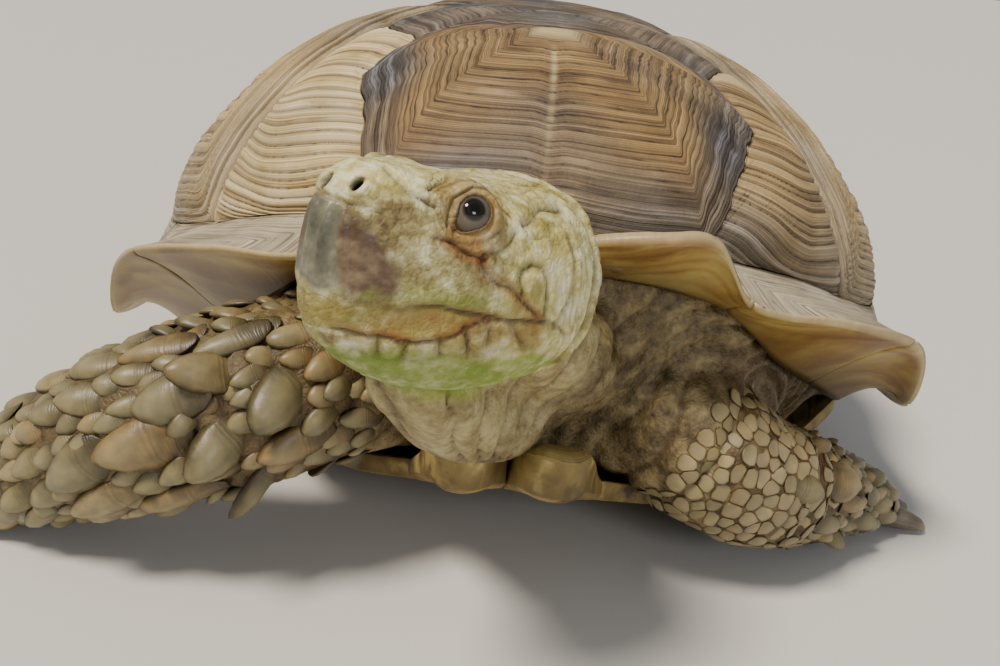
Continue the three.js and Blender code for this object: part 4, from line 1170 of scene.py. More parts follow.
    # Sockets: round the way each eye looks, a pit for the ball, a thick lid edge and folds outside it.
    rel = np.stack([moved[:, 0], np.abs(moved[:, 1]), moved[:, 2]], -1) - BALL_PLACE
    z, f, t = rel @ EYE_AXIS, rel @ EYE_FRONT, rel @ EYE_TOP
    rho, turn = np.hypot(f, t), np.arctan2(t, f)
    opening = np.interp(turn, *OPENING.T, period=2 * math.pi)
    facing = (z > -7) & on_it
    ball = np.sqrt(np.clip(BALL_RADIUS ** 2 - rho ** 2, 0.5, None))
    inside = 1 - smooth(opening - 0.6, opening + 0.1, rho)
    lid = ball + 0.6 + 0.5 * smooth(0.0, 0.9, rho - opening)
    lid = mix(lid, 6.5, smooth(0.9, 2.6, rho - opening))
    target = mix(lid, ball - 3.5, inside)
    moved_z = mix(z, target, 1 - smooth(8.6, 13.5, rho))
    eye_crease_shade = np.zeros(len(h))
    for places, depth in zip(LID_FOLDS, FOLD_DEPTHS):
        fold = groove(to_line(np.stack([f, t], -1) + 0.5 * wander, places), 0.75) * (rho > opening + 0.7)
        moved_z -= depth * fold
        eye_crease_shade = np.maximum(eye_crease_shade, fold * (0.4 + 0.3 * depth))
    around = smooth(9, 11, rho) * fade(14, 17, rho)
    fine = pleats(rho + 0.8 * waves(h, 10, 35), 1.9) * around
    moved_z += 0.3 * fine
    eye_crease_shade = np.maximum(eye_crease_shade, 0.35 * fade(0.0, 0.4, fine) * around)
    shift = (moved_z - z)[:, None] * EYE_AXIS
    shift[:, 1] *= np.sign(side)
    moved = moved + shift * (facing & (rho < 18))[:, None]

    share = on_it * fade(100, 112, back)
    stain = 0.7 * groove(apart(even, [31, 28, -1]), 2)
    stain = stain + 0.9 * groove(up - lip - 1.0, 1.6) * (back > 8) * (back < 52)
    for places in (CHEEK_LINES[0], CHEEK_LINES[3]):
        stain = stain + 0.6 * groove(to_line(flank, places), 2.6)
    stain = stain + 0.4 * groove(up - line + 4, 6) * smooth(8, 20, back) * fade(72, 82, back)
    green = smooth(-13, -19, up + 2.5 * waves(h, 22, 61)) * fade(85, 104, back)
    green = np.maximum(green, 0.45 * groove(up - 6, 3.5) * smooth(4, 10, back) * fade(46, 58, back))
    marks = {
        # painted shade in the head's creases, seams and mouth line, and in the folds round the eyes
        "crease": np.maximum(form[1] * on_it, eye_crease_shade * facing),
        # painted shade: the nostrils near-black
        "hole": fade(1.2, 2.0, hole) * on_it,
        "beak": beak * on_it,
        "keel": fade(6.2, 8.4, spread + 0.6 * waves(h, 8, 64)) * on_it,
        "gold": 0.75 * smooth(-2, 2, below) * smooth(-1.5, 1, up - lip) * fade(46, 54, back) * on_it,
        "tan": fade(9, 17, rho + 1.5 * waves(h, 9, 63)) * facing,
        "stain": stain * share * (left > 4),
        "snout": fade(46, 66, back) * fade(34, 42, up) * share,
        "green": 1.15 * green * on_it * fade(98, 116, back),
        # painted shade: a dark ring at the lid rims, where the lids meet the ball
        "lids": groove(rho - opening - 0.4, 0.8) * facing,
        "head": share,
    }
    return moved, marks


def fold_body(points, normal, skip):
    """Loose skin: long folds down the neck and the throat, and thick ones round the top of each foreleg, with
    painted shade in each fold.
    """
    x, y, z = points.T
    loose = 1 - skip
    neck = (y < -250) * fade(80, 125, np.abs(x - 10)) * loose
    slant = np.arctan2(x + 12, z - 100) * 34 + 0.16 * (y + 340) + 5.0 * waves(points, 42, 71)
    lane = pleats(slant, 12) ** 0.6
    push = -4.4 * neck * (1 - lane)
    crease = neck * fade(0.0, 0.5, lane) * 0.9
    for middle, near in (((122, -262, 66), x > 10), ((-95, -262, 96), x < -30)):
        arm = np.linalg.norm((points - middle) * [1, 0.85, 1], axis=-1) + 4.0 * waves(points, 36, 72)
        folded = smooth(38, 56, arm) * fade(96, 120, arm) * near * (y < -170) * loose
        ring = pleats(arm, 11) ** 0.6
        push = mix(push, -4.6 * (1 - ring), folded)
        crease = mix(crease, fade(0.0, 0.5, ring) * 0.95, folded)
    push += (0.7 * waves(points, 15, 73) + 0.3 * waves(points, 6, 74)) * loose
    return points + normal * push[:, None], crease


def tucked(points):
    """The skin off the floor, and where the carapace hides it drawn in well clear of the plates."""
    points[:, 2] = np.maximum(points[:, 2], FLOOR_GAP)
    x, y, z = points.T
    rim = rim_at(np.degrees(np.arctan2(x, -y)))
    skin_line, above = rim[..., 6], z - rim[..., 7]
    radius = np.hypot(x, y)
    under = smooth(8, 30, above) * (radius < skin_line - 10)
    points = points - under[:, None] * np.stack([TUCK * x, TUCK * y, 0 * z + 3], -1)
    rise = above / (DOME_TOP - rim[..., 7])
    lining = (skin_line - LINING) * np.sqrt(np.clip(1 - rise ** 2, 0.02, 1))
    stray = (above > 20) & (radius < skin_line + 20) & (radius > lining)
    points[stray, :2] *= (lining / radius)[stray, None]
    return points


def make_skin(material):
    skin = rough_skin()
    trim_skin(skin)
    relax(skin.data, 3)
    set_coordinates(skin.data, on_head(onto_sections(from_beak(coordinates(skin.data)))))
    relax(skin.data, 2)
    h = from_beak(coordinates(skin.data))
    moved, marks = sculpt_head(h, directions(skin.data) @ HEAD_AXES.T)
    points, folds = fold_body(on_head(moved), directions(skin.data), marks["head"])
    x, y, z = points.T
    arms = smooth(240, 265, np.hypot(x, y)) * (z < 140) * (y > -375) * ((x < -75) | (x > 110))
    points = tucked(points)
    set_coordinates(skin.data, points)
    # painted shade on the arms' skin between the scales
    shade_between_scales = 0.55 * arms * (1 - marks["head"])
    marks["crease"] = np.maximum(np.maximum(marks["crease"], folds), shade_between_scales)
    near = to_line(h, [(30, 0, -24), (105, 0, -6)])
    marks["nape"] = 1 - smooth(44, 118, near + 10 * waves(points, 30, 81))
    give_values(skin.data, {key: np.clip(value, 0, 1) for key, value in marks.items()}, len(points))
    finish_piece(skin, material, "body_skin", "trunk", "head", "neck", "tail", *LEGS)
    return skin


def tortoise_skin():
    """Dry pebbled skin: cream mottled over ochre on the head, olive-brown on the body, painted shade in every fold
    and crease, at the lid rims and in the nostrils.
    """
    material, tree, shader, values = start_material(
        "Dry pebbled skin", 0.55, 0.4, "crease hole beak keel tan stain snout green lids head nape gold")
    crease, hole, beak, keel, tan, stain, snout, green, lids, head, nape, gold = values
    coords = add(tree, "TexCoord", out="Object")
    cloud = add(tree, "TexNoise", {"Vector": coords, "Scale": 24.0, "Detail": 6.0})
    blotch = add(tree, "TexNoise", {"Vector": coords, "Scale": 70.0, "Detail": 8.0, "Roughness": 0.62})
    mottle = add(tree, "TexNoise", {"Vector": coords, "Scale": 260.0, "Detail": 5.0})
    mixed = add(tree, "Mix", {0: 0.3, 2: blotch, 3: mottle})
    body, throat, crown, muzzle, beak_side = (add(tree, "ValToRGB", {"Fac": mixed}, stops) for stops in (
        [(0.36, "40341c"), (0.47, "645536"), (0.57, "81714c"), (0.7, "a2956d")],
        [(0.34, "72613a"), (0.47, "97875a"), (0.58, "b2a575"), (0.74, "cdc49c")],
        [(0.34, "7d6d33"), (0.43, "a79b58"), (0.51, "cbc286"), (0.62, "e9e4bf")],
        [(0.37, "574325"), (0.45, "7f7044"), (0.52, "a39a69"), (0.58, "cac39c"), (0.68, "efebd6")],
        [(0.36, "3c2c1f"), (0.5, "5b4735"), (0.64, "837055")],
    ))
    beak_front = add(tree, "ValToRGB", {"Fac": blotch}, [(0.36, "47453a"), (0.52, "686654"), (0.68, "918e76")])
    tint = add(tree, "MapRange", {0: cloud, 1: 0.45, 2: 0.68, 3: 0.0, 4: 0.5})
    neck = add(tree, "Mix", {0: nape, 6: body, 7: throat}, data_type="RGBA")
    pale_face = add(tree, "Mix", {0: snout, 6: crown, 7: muzzle}, data_type="RGBA")
    face = add(tree, "Mix", {0: tint, 6: pale_face, 7: srgb("a49a4f")}, data_type="RGBA")
    horn = add(tree, "Mix", {0: keel, 6: beak_side, 7: beak_front}, data_type="RGBA")
    patchy = add(tree, "MapRange", {0: blotch, 1: 0.35, 2: 0.62, 3: 1.0, 4: 0.45})
    mossy = add(tree, "MapRange", {0: mixed, 1: 0.35, 2: 0.62, 3: 0.9, 4: 0.45})
    warm, yellow, rust, moss, deep = (
        add(tree, "Math", {0: mark, 1: share}, operation="MULTIPLY")
        for mark, share in ((tan, patchy), (gold, patchy), (stain, patchy), (green, mossy), (crease, 0.85))
    )
    ragged = add(tree, "Math", {0: beak, 1: 1.2, 2: blotch}, operation="MULTIPLY_ADD")
    covered = add(tree, "MapRange", {0: ragged, 1: 0.55, 2: 1.35, 3: 0.0, 4: 1.0})
    colour = neck
    for share, layer in (
        (head, face), (warm, srgb("94713a")), (yellow, srgb("8c8038")), (rust, srgb("8c5424")),
        # lids, deep and hole are painted shade: at the lid rims, in every crease and fold, and near-black in the
        # nostrils
        (moss, srgb("6d8a1c")), (covered, horn), (lids, srgb("5e482a")), (deep, srgb("3d2611")),
        (hole, srgb("0a0705")),
    ):
        colour = add(tree, "Mix", {0: share, 6: colour, 7: layer}, data_type="RGBA")
    pebble = add(tree, "TexVoronoi", {"Vector": coords, "Scale": 330.0}, feature="DISTANCE_TO_EDGE")
    rounded = add(tree, "MapRange", {0: pebble, 1: 0.0, 2: 0.25, 3: 0.0, 4: 1.0})
    grain = add(tree, "TexNoise", {"Vector": coords, "Scale": 700.0, "Detail": 4.0})
    fine = add(tree, "Math", {0: rounded, 1: 0.7, 2: grain}, operation="MULTIPLY_ADD")
    relief = add(tree, "Math", {0: mottle, 1: 1.4, 2: fine}, operation="MULTIPLY_ADD")
    strength = add(tree, "MapRange", {0: covered, 1: 0.0, 2: 1.0, 3: 0.45, 4: 0.08})
    gloss = add(tree, "MapRange", {0: covered, 1: 0.0, 2: 1.0, 3: 0.55, 4: 0.34})
    tree.links.new(gloss, shader.inputs["Roughness"])
    cover(tree, shader, colour, relief, strength, 0.0008)
    return material


# ---------------------------------------------------------------- eyes
def tortoise_eye():
    """Wet cornea over a near-black iris with a thin brown rim, in a grey-brown ball darkened towards the lids with
    painted shade.
    """
    material, tree, shader, (off_axis,) = start_material("Wet cornea over a dark iris", 0.1, 0.3, "off_axis")
    shader.inputs["Coat Weight"].default_value = 0.3
    shader.inputs["Coat Roughness"].default_value = 0.02
    rings = add(tree, "ValToRGB", {"Fac": off_axis}, [
        (0.0, "050403"), (0.12, "0b0907"), (0.15, "1d140d"), (0.22, "0d0a07"), (0.25, "2c2016"),
        (0.27, "33302b"),
        # painted shade: the ball darkens towards the lids
        (0.33, "5f594b"), (0.6, "4c402b")])
    tree.links.new(rings, shader.inputs["Base Color"])
    return material


def make_eyes(material):
    for name, sign in (("eye_left", 1), ("eye_right", -1)):
        flip = np.array([1, sign, 1])
        bm = bmesh.new()
        bmesh.ops.create_icosphere(bm, subdivisions=5, radius=1.0)
        mesh = bpy.data.meshes.new(name + "_ball")
        bm.to_mesh(mesh)
        bm.free()
        flat = np.empty(len(mesh.vertices) * 3, np.float32)
        mesh.vertices.foreach_get("co", flat)
        aim = unit(flat.reshape(-1, 3).astype(float))
        off = np.arccos(np.clip(aim @ IRIS_AXIS, -1, 1))
        bulge = 0.5 * fade(0.2, 0.55, off)
        set_coordinates(mesh, on_head((BALL_PLACE + aim * (BALL_RADIUS + bulge)[:, None]) * flip))
        give_values(mesh, {"off_axis": off / (math.pi / 2)}, len(off))
        finish_piece(settled_piece(name + "_ball", mesh), material, "eye", name)


# ---------------------------------------------------------------- scales on the legs and tail
# Large scales of the right foreleg: share along it, angle round it in degrees (0 in front, 90 on top),
# length, width, and how far the tip turns down, in degrees. The left foreleg has the mirror image.
TOP_SCALES = [
    (0.26, 60, 27, 17, 0), (0.33, 64, 36, 18, 8), (0.41, 70, 35, 18, 0), (0.49, 72, 32, 20, 0),
    (0.58, 78, 31, 19, 0), (0.66, 74, 27, 18, 0), (0.36, 92, 24, 17, 0), (0.45, 96, 24, 17, 0),
    (0.54, 98, 22, 16, 0),
]
FRONT_SCALES = [
    (0.29, 18, 44, 33, 22), (0.355, 42, 38, 25, -4), (0.40, 29, 36, 27, 0), (0.45, 30, 20, 14, 0),
    (0.51, 42, 26, 20, -10), (0.56, 38, 22, 17, 0), (0.29, -12, 36, 24, 6), (0.365, -4, 40, 32, 16),
    (0.39, 12, 20, 16, 0), (0.45, 4, 46, 34, 0), (0.54, -1, 38, 31, 10), (0.415, -15, 25, 18, 6),
    (0.34, -42, 40, 24, 10), (0.44, -40, 42, 22, 0), (0.53, -28, 42, 24, 0), (0.62, -18, 28, 20, 6),
    (0.62, 8, 30, 19, 10), (0.24, 32, 22, 18, 14), (0.255, 0, 22, 18, 14), (0.60, 30, 22, 16, 0),
    (0.26, -30, 26, 20, 10), (0.36, -62, 30, 20, 4), (0.46, -60, 30, 18, 0), (0.56, -50, 26, 18, 0),
    (0.325, 22, 18, 14, 10), (0.34, 26, 16, 13, 0), (0.23, 16, 18, 15, 14), (0.24, -16, 18, 15, 14),
    (0.485, -12, 18, 13, 0), (0.50, 24, 17, 13, 0), (0.31, -28, 20, 14, 6), (0.38, 48, 17, 12, 0),
]
FOREARM_SCALES = [
    (0.60, 62, 22, 15, 8), (0.68, 48, 26, 18, 0), (0.56, 40, 20, 14, 0), (0.74, 66, 22, 15, 0),
    (0.64, 20, 22, 15, 0), (0.72, 12, 24, 16, 0), (0.80, 34, 22, 15, 0), (0.52, 8, 22, 15, 0),
    (0.62, -10, 24, 16, 0), (0.72, -20, 22, 15, 0), (0.88, 52, 20, 14, 0), (0.88, 10, 20, 14, 0),
    (0.80, -8, 22, 15, 0), (0.46, -14, 22, 16, 0), (0.54, -34, 22, 16, 0), (0.36, 16, 22, 19, 0),
    (0.47, 26, 32, 28, 0), (0.42, 62, 20, 15, 0),
]
HAND_SCALES = [(share, angle, 24, 17, 0) for row, share in enumerate((0.69, 0.745, 0.80, 0.855))
               for angle in range(-40 + 12 * (row % 2), 85, 26)]
COBBLE = 9.0                 # width of the small scales between them
# The spurs stand behind the knee.
SPURS = [(0.65, 58, 20, 16, 0), (0.69, 84, 24, 18, 0), (0.67, 112, 18, 14, 0), (0.76, 98, 18, 15, 0)]


def scale_shape():
    """One thick tongue-shaped scale: across -1 to 1, root to tip 0 to 1 and up to 1 at its crown."""
    bm = bmesh.new()
    bmesh.ops.create_uvsphere(bm, u_segments=12, v_segments=8, radius=1.0)
    points = np.array([v.co[:] for v in bm.verts])
    faces = [[v.index for v in f.verts] for f in bm.faces]
    bm.free()
    along = points[:, 2]
    full = np.sqrt(np.clip(1 - np.abs(along) ** 2.6, 0, 1)) / np.sqrt(np.clip(1 - along ** 2, 1e-6, None))
    full = np.where(np.abs(along) > 0.999, 1, full)
    narrow = mix(0.95, 1.0, smooth(-1.0, 0.0, along)) * full
    thick = mix(0.2, 1.0, smooth(-1.0, 0.55, along)) * full
    crown = np.abs(points[:, 1]) ** 1.1
    over = np.where(points[:, 1] > 0, crown, -0.4 * crown)
    return np.stack([points[:, 0] * narrow, (along + 1) / 2, over * thick], -1), faces


MAP_PATCH = 0.0015           # half-width of one scale's patch, as a share of the map


def joined(name, points, faces, values, roots):
    """Many like shapes as one mesh, each with its own small patch of the map round its root's place."""
    copies, size = points.shape[:2]
    mesh = bpy.data.meshes.new(name)
    all_faces = [[i + k * size for i in face] for k in range(copies) for face in faces]
    mesh.from_pydata(place(points.reshape(-1, 3)).tolist(), [], all_faces)
    give_values(mesh, values, (copies, size))
    local = points - points.mean(1, keepdims=True)
    span = np.abs(local).max(axis=(1, 2), keepdims=True)
    flat = roots[:, None, :] + (local / span)[..., :2] * MAP_PATCH
    corners = np.empty(len(mesh.loops), np.int32)
    mesh.loops.foreach_get("vertex_index", corners)
    layer = mesh.uv_layers.new(name="OFBake")
    layer.data.foreach_set("uv", flat.reshape(-1, 2)[corners].astype(np.float32).ravel())
    return settled_piece(name, mesh)


def on_skin(tree, limb, share, angle):
    """Where the skin lies at places on a limb, which way it faces there, and whether it was found."""
    aim = limb.surface(share, angle)
    out = unit(aim - limb.middle(share))
    found = np.zeros(len(aim), bool)
    normal = out.copy()
    for i, (p, n) in enumerate(zip(aim, out)):
        hit, facing, _, _ = tree.ray_cast(Vector(place(p + n * 12)), Vector(-n), 0.03)
        if hit is not None and facing.dot(Vector(n)) > 0.35:
            aim[i] = (np.array(hit) - SHIFT) * 1000
            normal[i] = facing
            found[i] = True
    return aim, normal, found


def along_skin(limb, share, normal):
    """The directions down a limb and across it, square to where its skin faces."""
    tangent = limb.frame(share)[0]
    ahead = unit(tangent - normal * (tangent * normal).sum(-1, keepdims=True))
    return ahead, np.cross(normal, ahead)


def free_places(tree, limb, spread, first, last, gap, blocked, keep, seed):
    """Scattered places on a limb that lie on its skin, off the floor and clear of the large scales."""
    share, angle = scatter(limb, spread, first, last, seed)
    at, normal, found = on_skin(tree, limb, share, angle)
    found &= keep(at) & (at[:, 2] > 3.0)
    share, angle, at, normal = share[found], angle[found], at[found], normal[found]
    kept = thinned(at, gap, blocked)
    return share[kept], angle[kept], at[kept], normal[kept]


def tongues(name, limb, share, angle, at, normal, size, turn, material, lift, thick, seed):
    """Overlapping tongue-shaped scales at places on a limb, their tips standing off it."""
    length, width = size
    ahead, side = along_skin(limb, share, normal)
    forward = ahead * np.cos(turn)[:, None] + side * np.sin(turn)[:, None]
    side = np.cross(normal, forward)
    shape, faces = scale_shape()
    x, y, z = shape.T
    rng = np.random.default_rng(seed)
    taper, tip = rng.uniform(0.3, 0.62, len(at))[:, None], rng.uniform(0.75, 1.25, len(at))[:, None]
    hug = (x[None, :] * width[:, None] / 2) ** 2 / 70
    rise = z * (width * thick)[:, None] + (y - 0.4) * tip * (length * lift)[:, None] - hug - 0.8
    spot = at[:, None] + forward[:, None] * y[:, None] * 30 + side[:, None] * x[:, None] * 14
    rough = [waves(spot, 16, k) for k in (1, 2)]
    wide = x * (width / 2)[:, None] * (1 + 0.09 * rough[0]) * (1 - taper * y ** 3)
    long = (y - 0.5) * length[:, None] * (1 + 0.04 * rough[1])
    points = (at[:, None] + side[:, None] * wide[..., None] + forward[:, None] * long[..., None]
              + normal[:, None] * (rise + 0.4 * rough[0] * z)[..., None])
    points[..., 2] = np.maximum(points[..., 2], 0.4)
    roots = np.stack([share, (angle / (2 * math.pi)) % 1], -1)
    values = {"along": y, "tone": rng.uniform(0, 1, len(at))[:, None], "crown": z}
    finish_piece(joined(name, points, faces, values, roots), material, "leg_scales")


def large_scales(name, tree, limb, scales, sign, material, lift=0.1, thick=0.3):
    """The large scales of a limb, from their table; gives their places and how much room they keep."""
    share, angle, length, width, turn = np.array(scales, float).T
    angle = np.radians(angle if sign < 0 else 180 - angle)
    at, normal, found = on_skin(tree, limb, share, angle)
    share, angle, length, width, turn, at, normal = (
        v[found] for v in (share, angle, length, width, turn, at, normal))
    size = (length * 1.18, width * 0.96)
    lean = np.radians(turn) * (1 if sign < 0 else -1)
    tongues(name, limb, share, angle, at, normal, size, lean, material, lift, thick, len(scales) + sign + 5)
    return at, np.maximum(length, width) * 0.36


def filling_scales(name, tree, limb, width, first, last, blocked, keep, material, seed):
    """Smaller overlapping scales that fill a limb between its large ones, like tiles on a roof."""
    share, angle, at, normal = free_places(tree, limb, width, first, last, width * 0.95, blocked, keep, seed)
    rng = np.random.default_rng(seed)
    size = (width * rng.uniform(1.25, 1.75, len(at)), width * rng.uniform(0.9, 1.2, len(at)))
    turn = rng.normal(0, 0.14, len(at))
    tongues(name, limb, share, angle, at, normal, size, turn, material, 0.11, 0.25, seed + 1)


def scatter(limb, size, first, last, seed):
    """Even but irregular places all over a limb."""
    rng = np.random.default_rng(seed)
    places = []
    girth = 4.4 * limb.size.mean()
    length = np.linalg.norm(np.diff(limb.at, axis=0), axis=1).sum()
    rows = int(length * (last - first) / size * 2.6)
    cols = int(girth / size * 2.6)
    for i in range(rows):
        share = first + (last - first) * (i + 0.5) / rows
        for k in range(cols):
            turn = (k + 0.5 * (i % 2)) / cols * 2 * math.pi - math.pi
            places.append((share, turn))
    stray = [0.35 * (last - first) / rows, 0.35 * 6.28 / cols]
    places = np.array(places) + rng.normal(size=(len(places), 2)) * stray
    rng.shuffle(places)
    return places[:, 0].clip(0, 1), places[:, 1]


def thinned(at, size, blocked):
    """Which places keep their distance from each other and from the large scales."""
    kept = np.zeros(len(at), bool)
    cell = {}
    for p, r in zip(*blocked):
        cell.setdefault(tuple((p // 24).astype(int)), []).append((p, r))
    grid = {}
    for i, p in enumerate(at):
        key = tuple((p // size).astype(int))
        close = [q for step in np.ndindex(3, 3, 3)
                 for q in grid.get((key[0] + step[0] - 1, key[1] + step[1] - 1, key[2] + step[2] - 1), ())]
        if close and min(((q - p) ** 2).sum() for q in close) < (size * 0.82) ** 2:
            continue
        big = tuple((p // 24).astype(int))
        near = [q for step in np.ndindex(3, 3, 3)
                for q in cell.get((big[0] + step[0] - 1, big[1] + step[1] - 1, big[2] + step[2] - 1), ())]
        if any(((q - p) ** 2).sum() < r * r for q, r in near):
            continue
        grid.setdefault(key, []).append(p)
        kept[i] = True
    return kept


def cobbles(name, tree, limb, size, first, last, blocked, keep, material, seed,
            stretch=1.0, height=0.09, tilt=0.0):
    """Small scales that fill the rest of a limb, each a low dome over its own irregular cell."""
    share, angle, at, normal = free_places(tree, limb, size, first, last, size, blocked, keep, seed)
    ahead, side = along_skin(limb, share, normal)
    near = KDTree(len(at))
    for i, p in enumerate(at):
        near.insert(p, i)
    near.balance()
    turns = np.linspace(0, 2 * math.pi, 12, endpoint=False)
    border = np.full((len(at), len(turns)), size * 0.8)
    for i, p in enumerate(at):
        others = np.array([k for _, k, d in near.find_n(p, 10) if k != i and d < size * 2.2])
        if len(others):
            gap = at[others] - p
            flat = np.stack([gap @ side[i], gap @ ahead[i] / stretch], -1)
            far = np.linalg.norm(flat, axis=-1)
            way = np.arctan2(flat[:, 1], flat[:, 0])
            reach = np.clip(np.cos(turns[None, :] - way[:, None]), 0, None) / (far[:, None] / 2)
            border[i] = np.minimum(border[i], ((reach ** 18).sum(0) + 1e-18) ** (-1 / 18))
    rng = np.random.default_rng(seed + 1)
    proud = rng.uniform(0.75, 1.25, len(at))[:, None] * size * height
    rings = [(0.78, 0.95), (0.95, 0.62), (1.0, -0.7)]
    shape = [np.zeros((len(at), 1, 3))]
    shape[0][..., 2] = proud
    for out, up in rings:
        reach = border * out
        x, y = reach * np.cos(turns), reach * np.sin(turns) * stretch
        shape.append(np.stack([x, y, proud * up + tilt * y * (up > 0)], -1))
    shape = np.concatenate(shape, 1)
    points = (at[:, None] + side[:, None] * shape[..., :1] + ahead[:, None] * shape[..., 1:2]
              + normal[:, None] * shape[..., 2:])
    points[..., 2] = np.maximum(points[..., 2], 0.35)
    count = len(turns)
    faces = [[0, 1 + k, 1 + (k + 1) % count] for k in range(count)]
    for ring in range(len(rings) - 1):
        a, b = 1 + ring * count, 1 + (ring + 1) * count
        faces += [[a + k, b + k, b + (k + 1) % count, a + (k + 1) % count] for k in range(count)]
    faces.append([1 + 2 * count + k for k in reversed(range(count))])
    tone = rng.uniform(0.6, 0.95, len(at))[:, None]
    crown = np.array([1] + [0.95] * count + [0.4] * count + [0.0] * count)
    along = 0.5 + shape[..., 1] / (size * 2)
    roots = np.stack([share, (angle / (2 * math.pi)) % 1], -1)
    piece = joined(name, points, faces, {"along": along, "tone": tone, "crown": crown}, roots)
    finish_piece(piece, material, "leg_scales")


def horny_scale():
    """Dull scale horn: olive-grey to ochre, a painted highlight on each crown, dirty growth lines at the root and
    painted shade on the low sides.
    """
    material, tree, shader, (along, tone, crown) = start_material(
        "Dull scale horn", 0.42, 0.5, "along tone crown")
    coords = add(tree, "TexCoord", out="Object")
    cloud = add(tree, "TexNoise", {"Vector": coords, "Scale": 120.0, "Detail": 6.0})
    base = add(tree, "ValToRGB", {"Fac": tone}, [
        (0.0, "544a2c"), (0.25, "776b43"), (0.5, "696040"), (0.75, "866b3b"), (1.0, "9a8a62")])
    shade = add(tree, "MapRange", {0: cloud, 1: 0.3, 2: 0.7, 3: 0.45, 4: 1.2})
    colour = add(tree, "Mix", {0: 1.0, 6: base, 7: shade}, data_type="RGBA", blend_type="MULTIPLY")
    # painted highlight: paler towards each scale's crown
    wear_and_highlight = add(tree, "MapRange", {0: crown, 1: 0.3, 2: 1.0, 3: 0.0, 4: 0.4})
    rings = lines_across(tree, along, 34.0, cloud, 2.0, 1.0)
    lined = add(tree, "MapRange", {0: along, 1: 0.2, 2: 0.6, 3: 0.7, 4: 0.05})
    dirty = add(tree, "Math", {0: rings, 1: lined}, operation="MULTIPLY")
    # painted shade: darker on each scale's low sides and underside, against the skin
    low_side_shade = add(tree, "MapRange", {0: crown, 1: 0.0, 2: 0.4, 3: 0.85, 4: 0.0})
    for share, code in ((wear_and_highlight, "b0a67f"), (dirty, "3a3020"), (low_side_shade, "2f2413")):
        colour = add(tree, "Mix", {0: share, 6: colour, 7: srgb(code)}, data_type="RGBA")
    relief = add(tree, "Math", {0: rings, 1: lined, 2: cloud}, operation="MULTIPLY_ADD")
    cover(tree, shader, colour, relief, 0.5, 0.0009)
    return material


def make_coat(skin, material):
    bm = bmesh.new()
    bm.from_mesh(skin.data)
    tree = BVHTree.FromBMesh(bm)
    bm.free()
    nothing = (np.zeros((0, 3)), np.zeros(0))


    def outside(at):
        return np.hypot(at[:, 0], at[:, 1]) > 262

    def behind(at):
        return np.hypot(at[:, 0], at[:, 1]) > 215

    def seen(at):
        return at[:, 1] > 270

    limb = Limb(LEGS["foreleg_right"], LEG_COAT)
    scales = TOP_SCALES + FRONT_SCALES + HAND_SCALES
    blocked = large_scales("foreleg_right_large_scales", tree, limb, scales, -1, material)
    filling_scales("foreleg_right_small_scales", tree, limb, 13.5, 0.16, 1.0, blocked, outside, material, 91)
    limb = Limb(LEGS["foreleg_left"], LEG_COAT)
    blocked = large_scales("foreleg_left_large_scales", tree, limb, FOREARM_SCALES, 1, material, lift=0.1)
    cobbles("foreleg_left_upper_scales", tree, limb, COBBLE - 1.2, 0.2, 0.5, blocked, outside, material, 93,
            height=0.07)
    filling_scales("foreleg_left_small_scales", tree, limb, 9.0, 0.5, 1.0, blocked, outside, material, 95)
    for name, sign in (("hindleg_left", 1), ("hindleg_right", -1)):
        limb = Limb(LEGS[name], LEG_COAT)
        blocked = large_scales(name + "_spurs", tree, limb, SPURS, sign, material, lift=0.5, thick=0.36)
        cobbles(name + "_small_scales", tree, limb, COBBLE + 1, 0.2, 1.0, blocked, behind, material, 95 + sign)
        foot = Limb(FEET[name], LEG_COAT, upright=(0, -1, 0))
        cobbles(name + "_foot_scales", tree, foot, COBBLE + 1, 0.2, 0.95, nothing, behind, material, 97 + sign)
    tail = Limb(TAIL, TAIL_COAT)
    cobbles("tail_scales", tree, tail, 7.0, 0.2, 1.0, nothing, seen, material, 99, 1.2)


# ---------------------------------------------------------------- claws
def claw_horn():
    """Claw horn: blunt, streaked along its length and worn pale at the tip."""
    material, tree, shader, (along, turn) = start_material("Worn claw horn", 0.4, 0.5, "along turn")
    coords = add(tree, "TexCoord", out="Object")
    cloud = add(tree, "TexNoise", {"Vector": coords, "Scale": 90.0, "Detail": 5.0})
    streaks = lines_across(tree, turn, 40.0, cloud, 1.0, 2.0)
    both = add(tree, "Mix", {0: 0.4, 2: streaks, 3: cloud})
    horn = add(tree, "ValToRGB", {"Fac": both}, [(0.3, "3d372f"), (0.48, "5f574a"), (0.7, "8d836e")])
    wear_and_highlight = add(tree, "MapRange", {0: along, 1: 0.55, 2: 1.0, 3: 0.0, 4: 0.55})
    colour = add(tree, "Mix", {0: wear_and_highlight, 6: horn, 7: srgb("a89c80")}, data_type="RGBA")
    cover(tree, shader, colour, both, 0.4, 0.0008)
    return material


